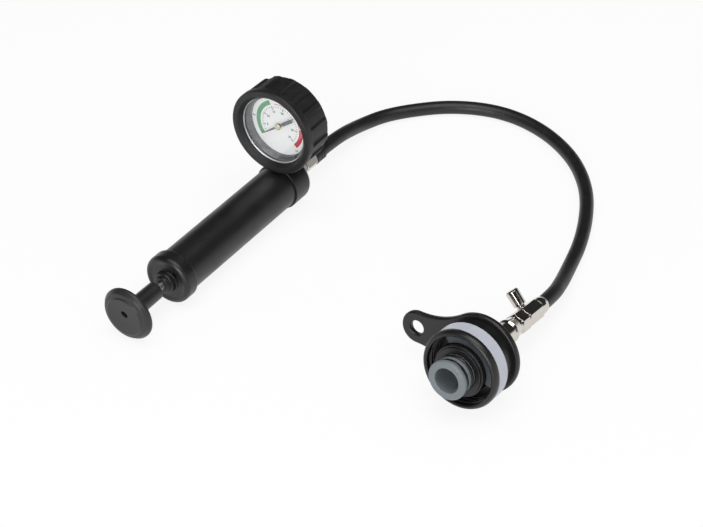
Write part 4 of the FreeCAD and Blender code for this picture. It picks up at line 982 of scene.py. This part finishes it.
# nodes of the frame that keep their own shape, by their material; the others are replaced and aren't seen
finishes = [
    (groundSteel, ["plunger_rod", "piston_washer", "piston_nut", "check_valve_ball", "check_valve_spring",
                   "bleed_spring", "retaining_clip"]),
    (moulded, ["piston"]),
    (sealRubber, ["piston_cup", "head_seal", "tail_seal", "bleed_seal"]),
    (turnedBrass, ["rod_bush", "needle_spindle", "movement_plates", "sector_gear", "tip_link", "bourdon_tube",
                   "gauge_stem"]),
    (fibre, ["union_seal", "stem_seal"]),
    (powderCoat, ["gauge_case"]),
    (clearPane(), ["crystal"]),
    (dialEnamel, ["dial"]),
    (needleLacquer, ["needle"]),
    (nickel, ["bleed_stem"]),
]
finishOf = {name: finish for finish, names in finishes for name in names}
for name, node in frame["nodes"].items():
    node.data.materials.clear()
    node.data.materials.append(finishOf.get(name, moulded))
print("frame nodes finished")


floorLook = {"side": 6.0, "drop": 0.0002, "tone": "#e4e4e4", "share": 0.87}


def addFloor():
    # pale matt floor: seen or mirrored it is near white, and the shadows on it stay soft
    p = floorLook
    mesh = bpy.data.meshes.new("floor")
    corners = [(-1, -1), (1, -1), (1, 1), (-1, 1)]
    mesh.from_pydata([(x * p["side"], y * p["side"], -p["drop"]) for x, y in corners], [], [(0, 1, 2, 3)])
    floor = addObject("floor", mesh)
    material, tree, output = blankMaterial("paleFloor")
    matt = addNode(tree, "ShaderNodeBsdfDiffuse", {"Color": linear(p["tone"])})
    glow = addNode(tree, "ShaderNodeEmission", {"Color": (1.0, 1.0, 1.0, 1.0), "Strength": 1.0})
    path = addNode(tree, "ShaderNodeLightPath", {})
    seen = anyRay(tree, path, "Is Camera Ray", "Is Glossy Ray", "Is Transmission Ray")
    share = addNode(tree, "ShaderNodeMath", {"operation": "MULTIPLY", 1: p["share"]}, [(0, seen)])
    mix = addNode(tree, "ShaderNodeMixShader", {}, [
        (0, share.outputs[0]), (1, matt.outputs[0]), (2, glow.outputs[0]),
    ])
    tree.links.new(mix.outputs[0], output.inputs[0])
    mesh.materials.append(material)


lamps = {
    "overhead": {"place": (-0.2, -0.2, 1.9), "aim": (0.0, 0.0, 0.0), "size": (1.8, 1.4), "power": 26.0},
    "front": {"place": (-1.9, -0.5, 0.8), "aim": (0.0, 0.0, 0.05), "size": (1.3, 1.0), "power": 24.0},
    "right": {"place": (0.1, -1.9, 0.7), "aim": (0.0, 0.0, 0.05), "size": (1.2, 0.9), "power": 3.0},
}


def addLamp(name, place, aim, size, power):
    data = bpy.data.lights.new(name, "AREA")
    data.shape = "RECTANGLE"
    data.size, data.size_y = size
    data.energy = power
    lookFrom(addObject(name, data), place, aim)


# strength on matt surfaces, and the mirrored room's strength at its horizon and above it, with their heights
surround = {"soft": 0.42, "horizon": 0.85, "horizonHeight": 0.02, "room": 0.03, "roomHeight": 0.2}


def addSurround():
    # soft light from all round for matt surfaces; what shines mirrors a dark room over a bright horizon
    p, white = surround, linear("#ffffff")
    world = bpy.data.worlds.new("surround")
    bpy.context.scene.world = world
    world.use_nodes = True
    tree = world.node_tree
    tree.nodes.clear()
    output = addNode(tree, "ShaderNodeOutputWorld", {})
    path = addNode(tree, "ShaderNodeLightPath", {})
    place = addNode(tree, "ShaderNodeTexCoord", {})
    height = addNode(tree, "ShaderNodeSeparateXYZ", {}, [(0, place.outputs["Generated"])])
    fall = addNode(tree, "ShaderNodeMapRange", {
        "From Min": p["horizonHeight"], "From Max": p["roomHeight"], "To Min": p["horizon"], "To Max": p["room"],
    }, [("Value", height.outputs["Z"])])
    soft = addNode(tree, "ShaderNodeBackground", {"Color": white, "Strength": p["soft"]})
    room = addNode(tree, "ShaderNodeBackground", {"Color": white}, [("Strength", fall.outputs[0])])
    bright = addNode(tree, "ShaderNodeBackground", {"Color": white, "Strength": 1.0})
    inner = addNode(tree, "ShaderNodeMixShader", {}, [
        (0, path.outputs["Is Glossy Ray"]), (1, soft.outputs[0]), (2, room.outputs[0]),
    ])
    seen = anyRay(tree, path, "Is Camera Ray", "Is Transmission Ray")
    mix = addNode(tree, "ShaderNodeMixShader", {}, [(0, seen), (1, inner.outputs[0]), (2, bright.outputs[0])])
    tree.links.new(mix.outputs[0], output.inputs[0])


addFloor()
for lampName, settings in lamps.items():
    addLamp(lampName, **settings)
addSurround()
bpy.context.scene.view_settings.view_transform = "Standard"
print("stage and lamps")
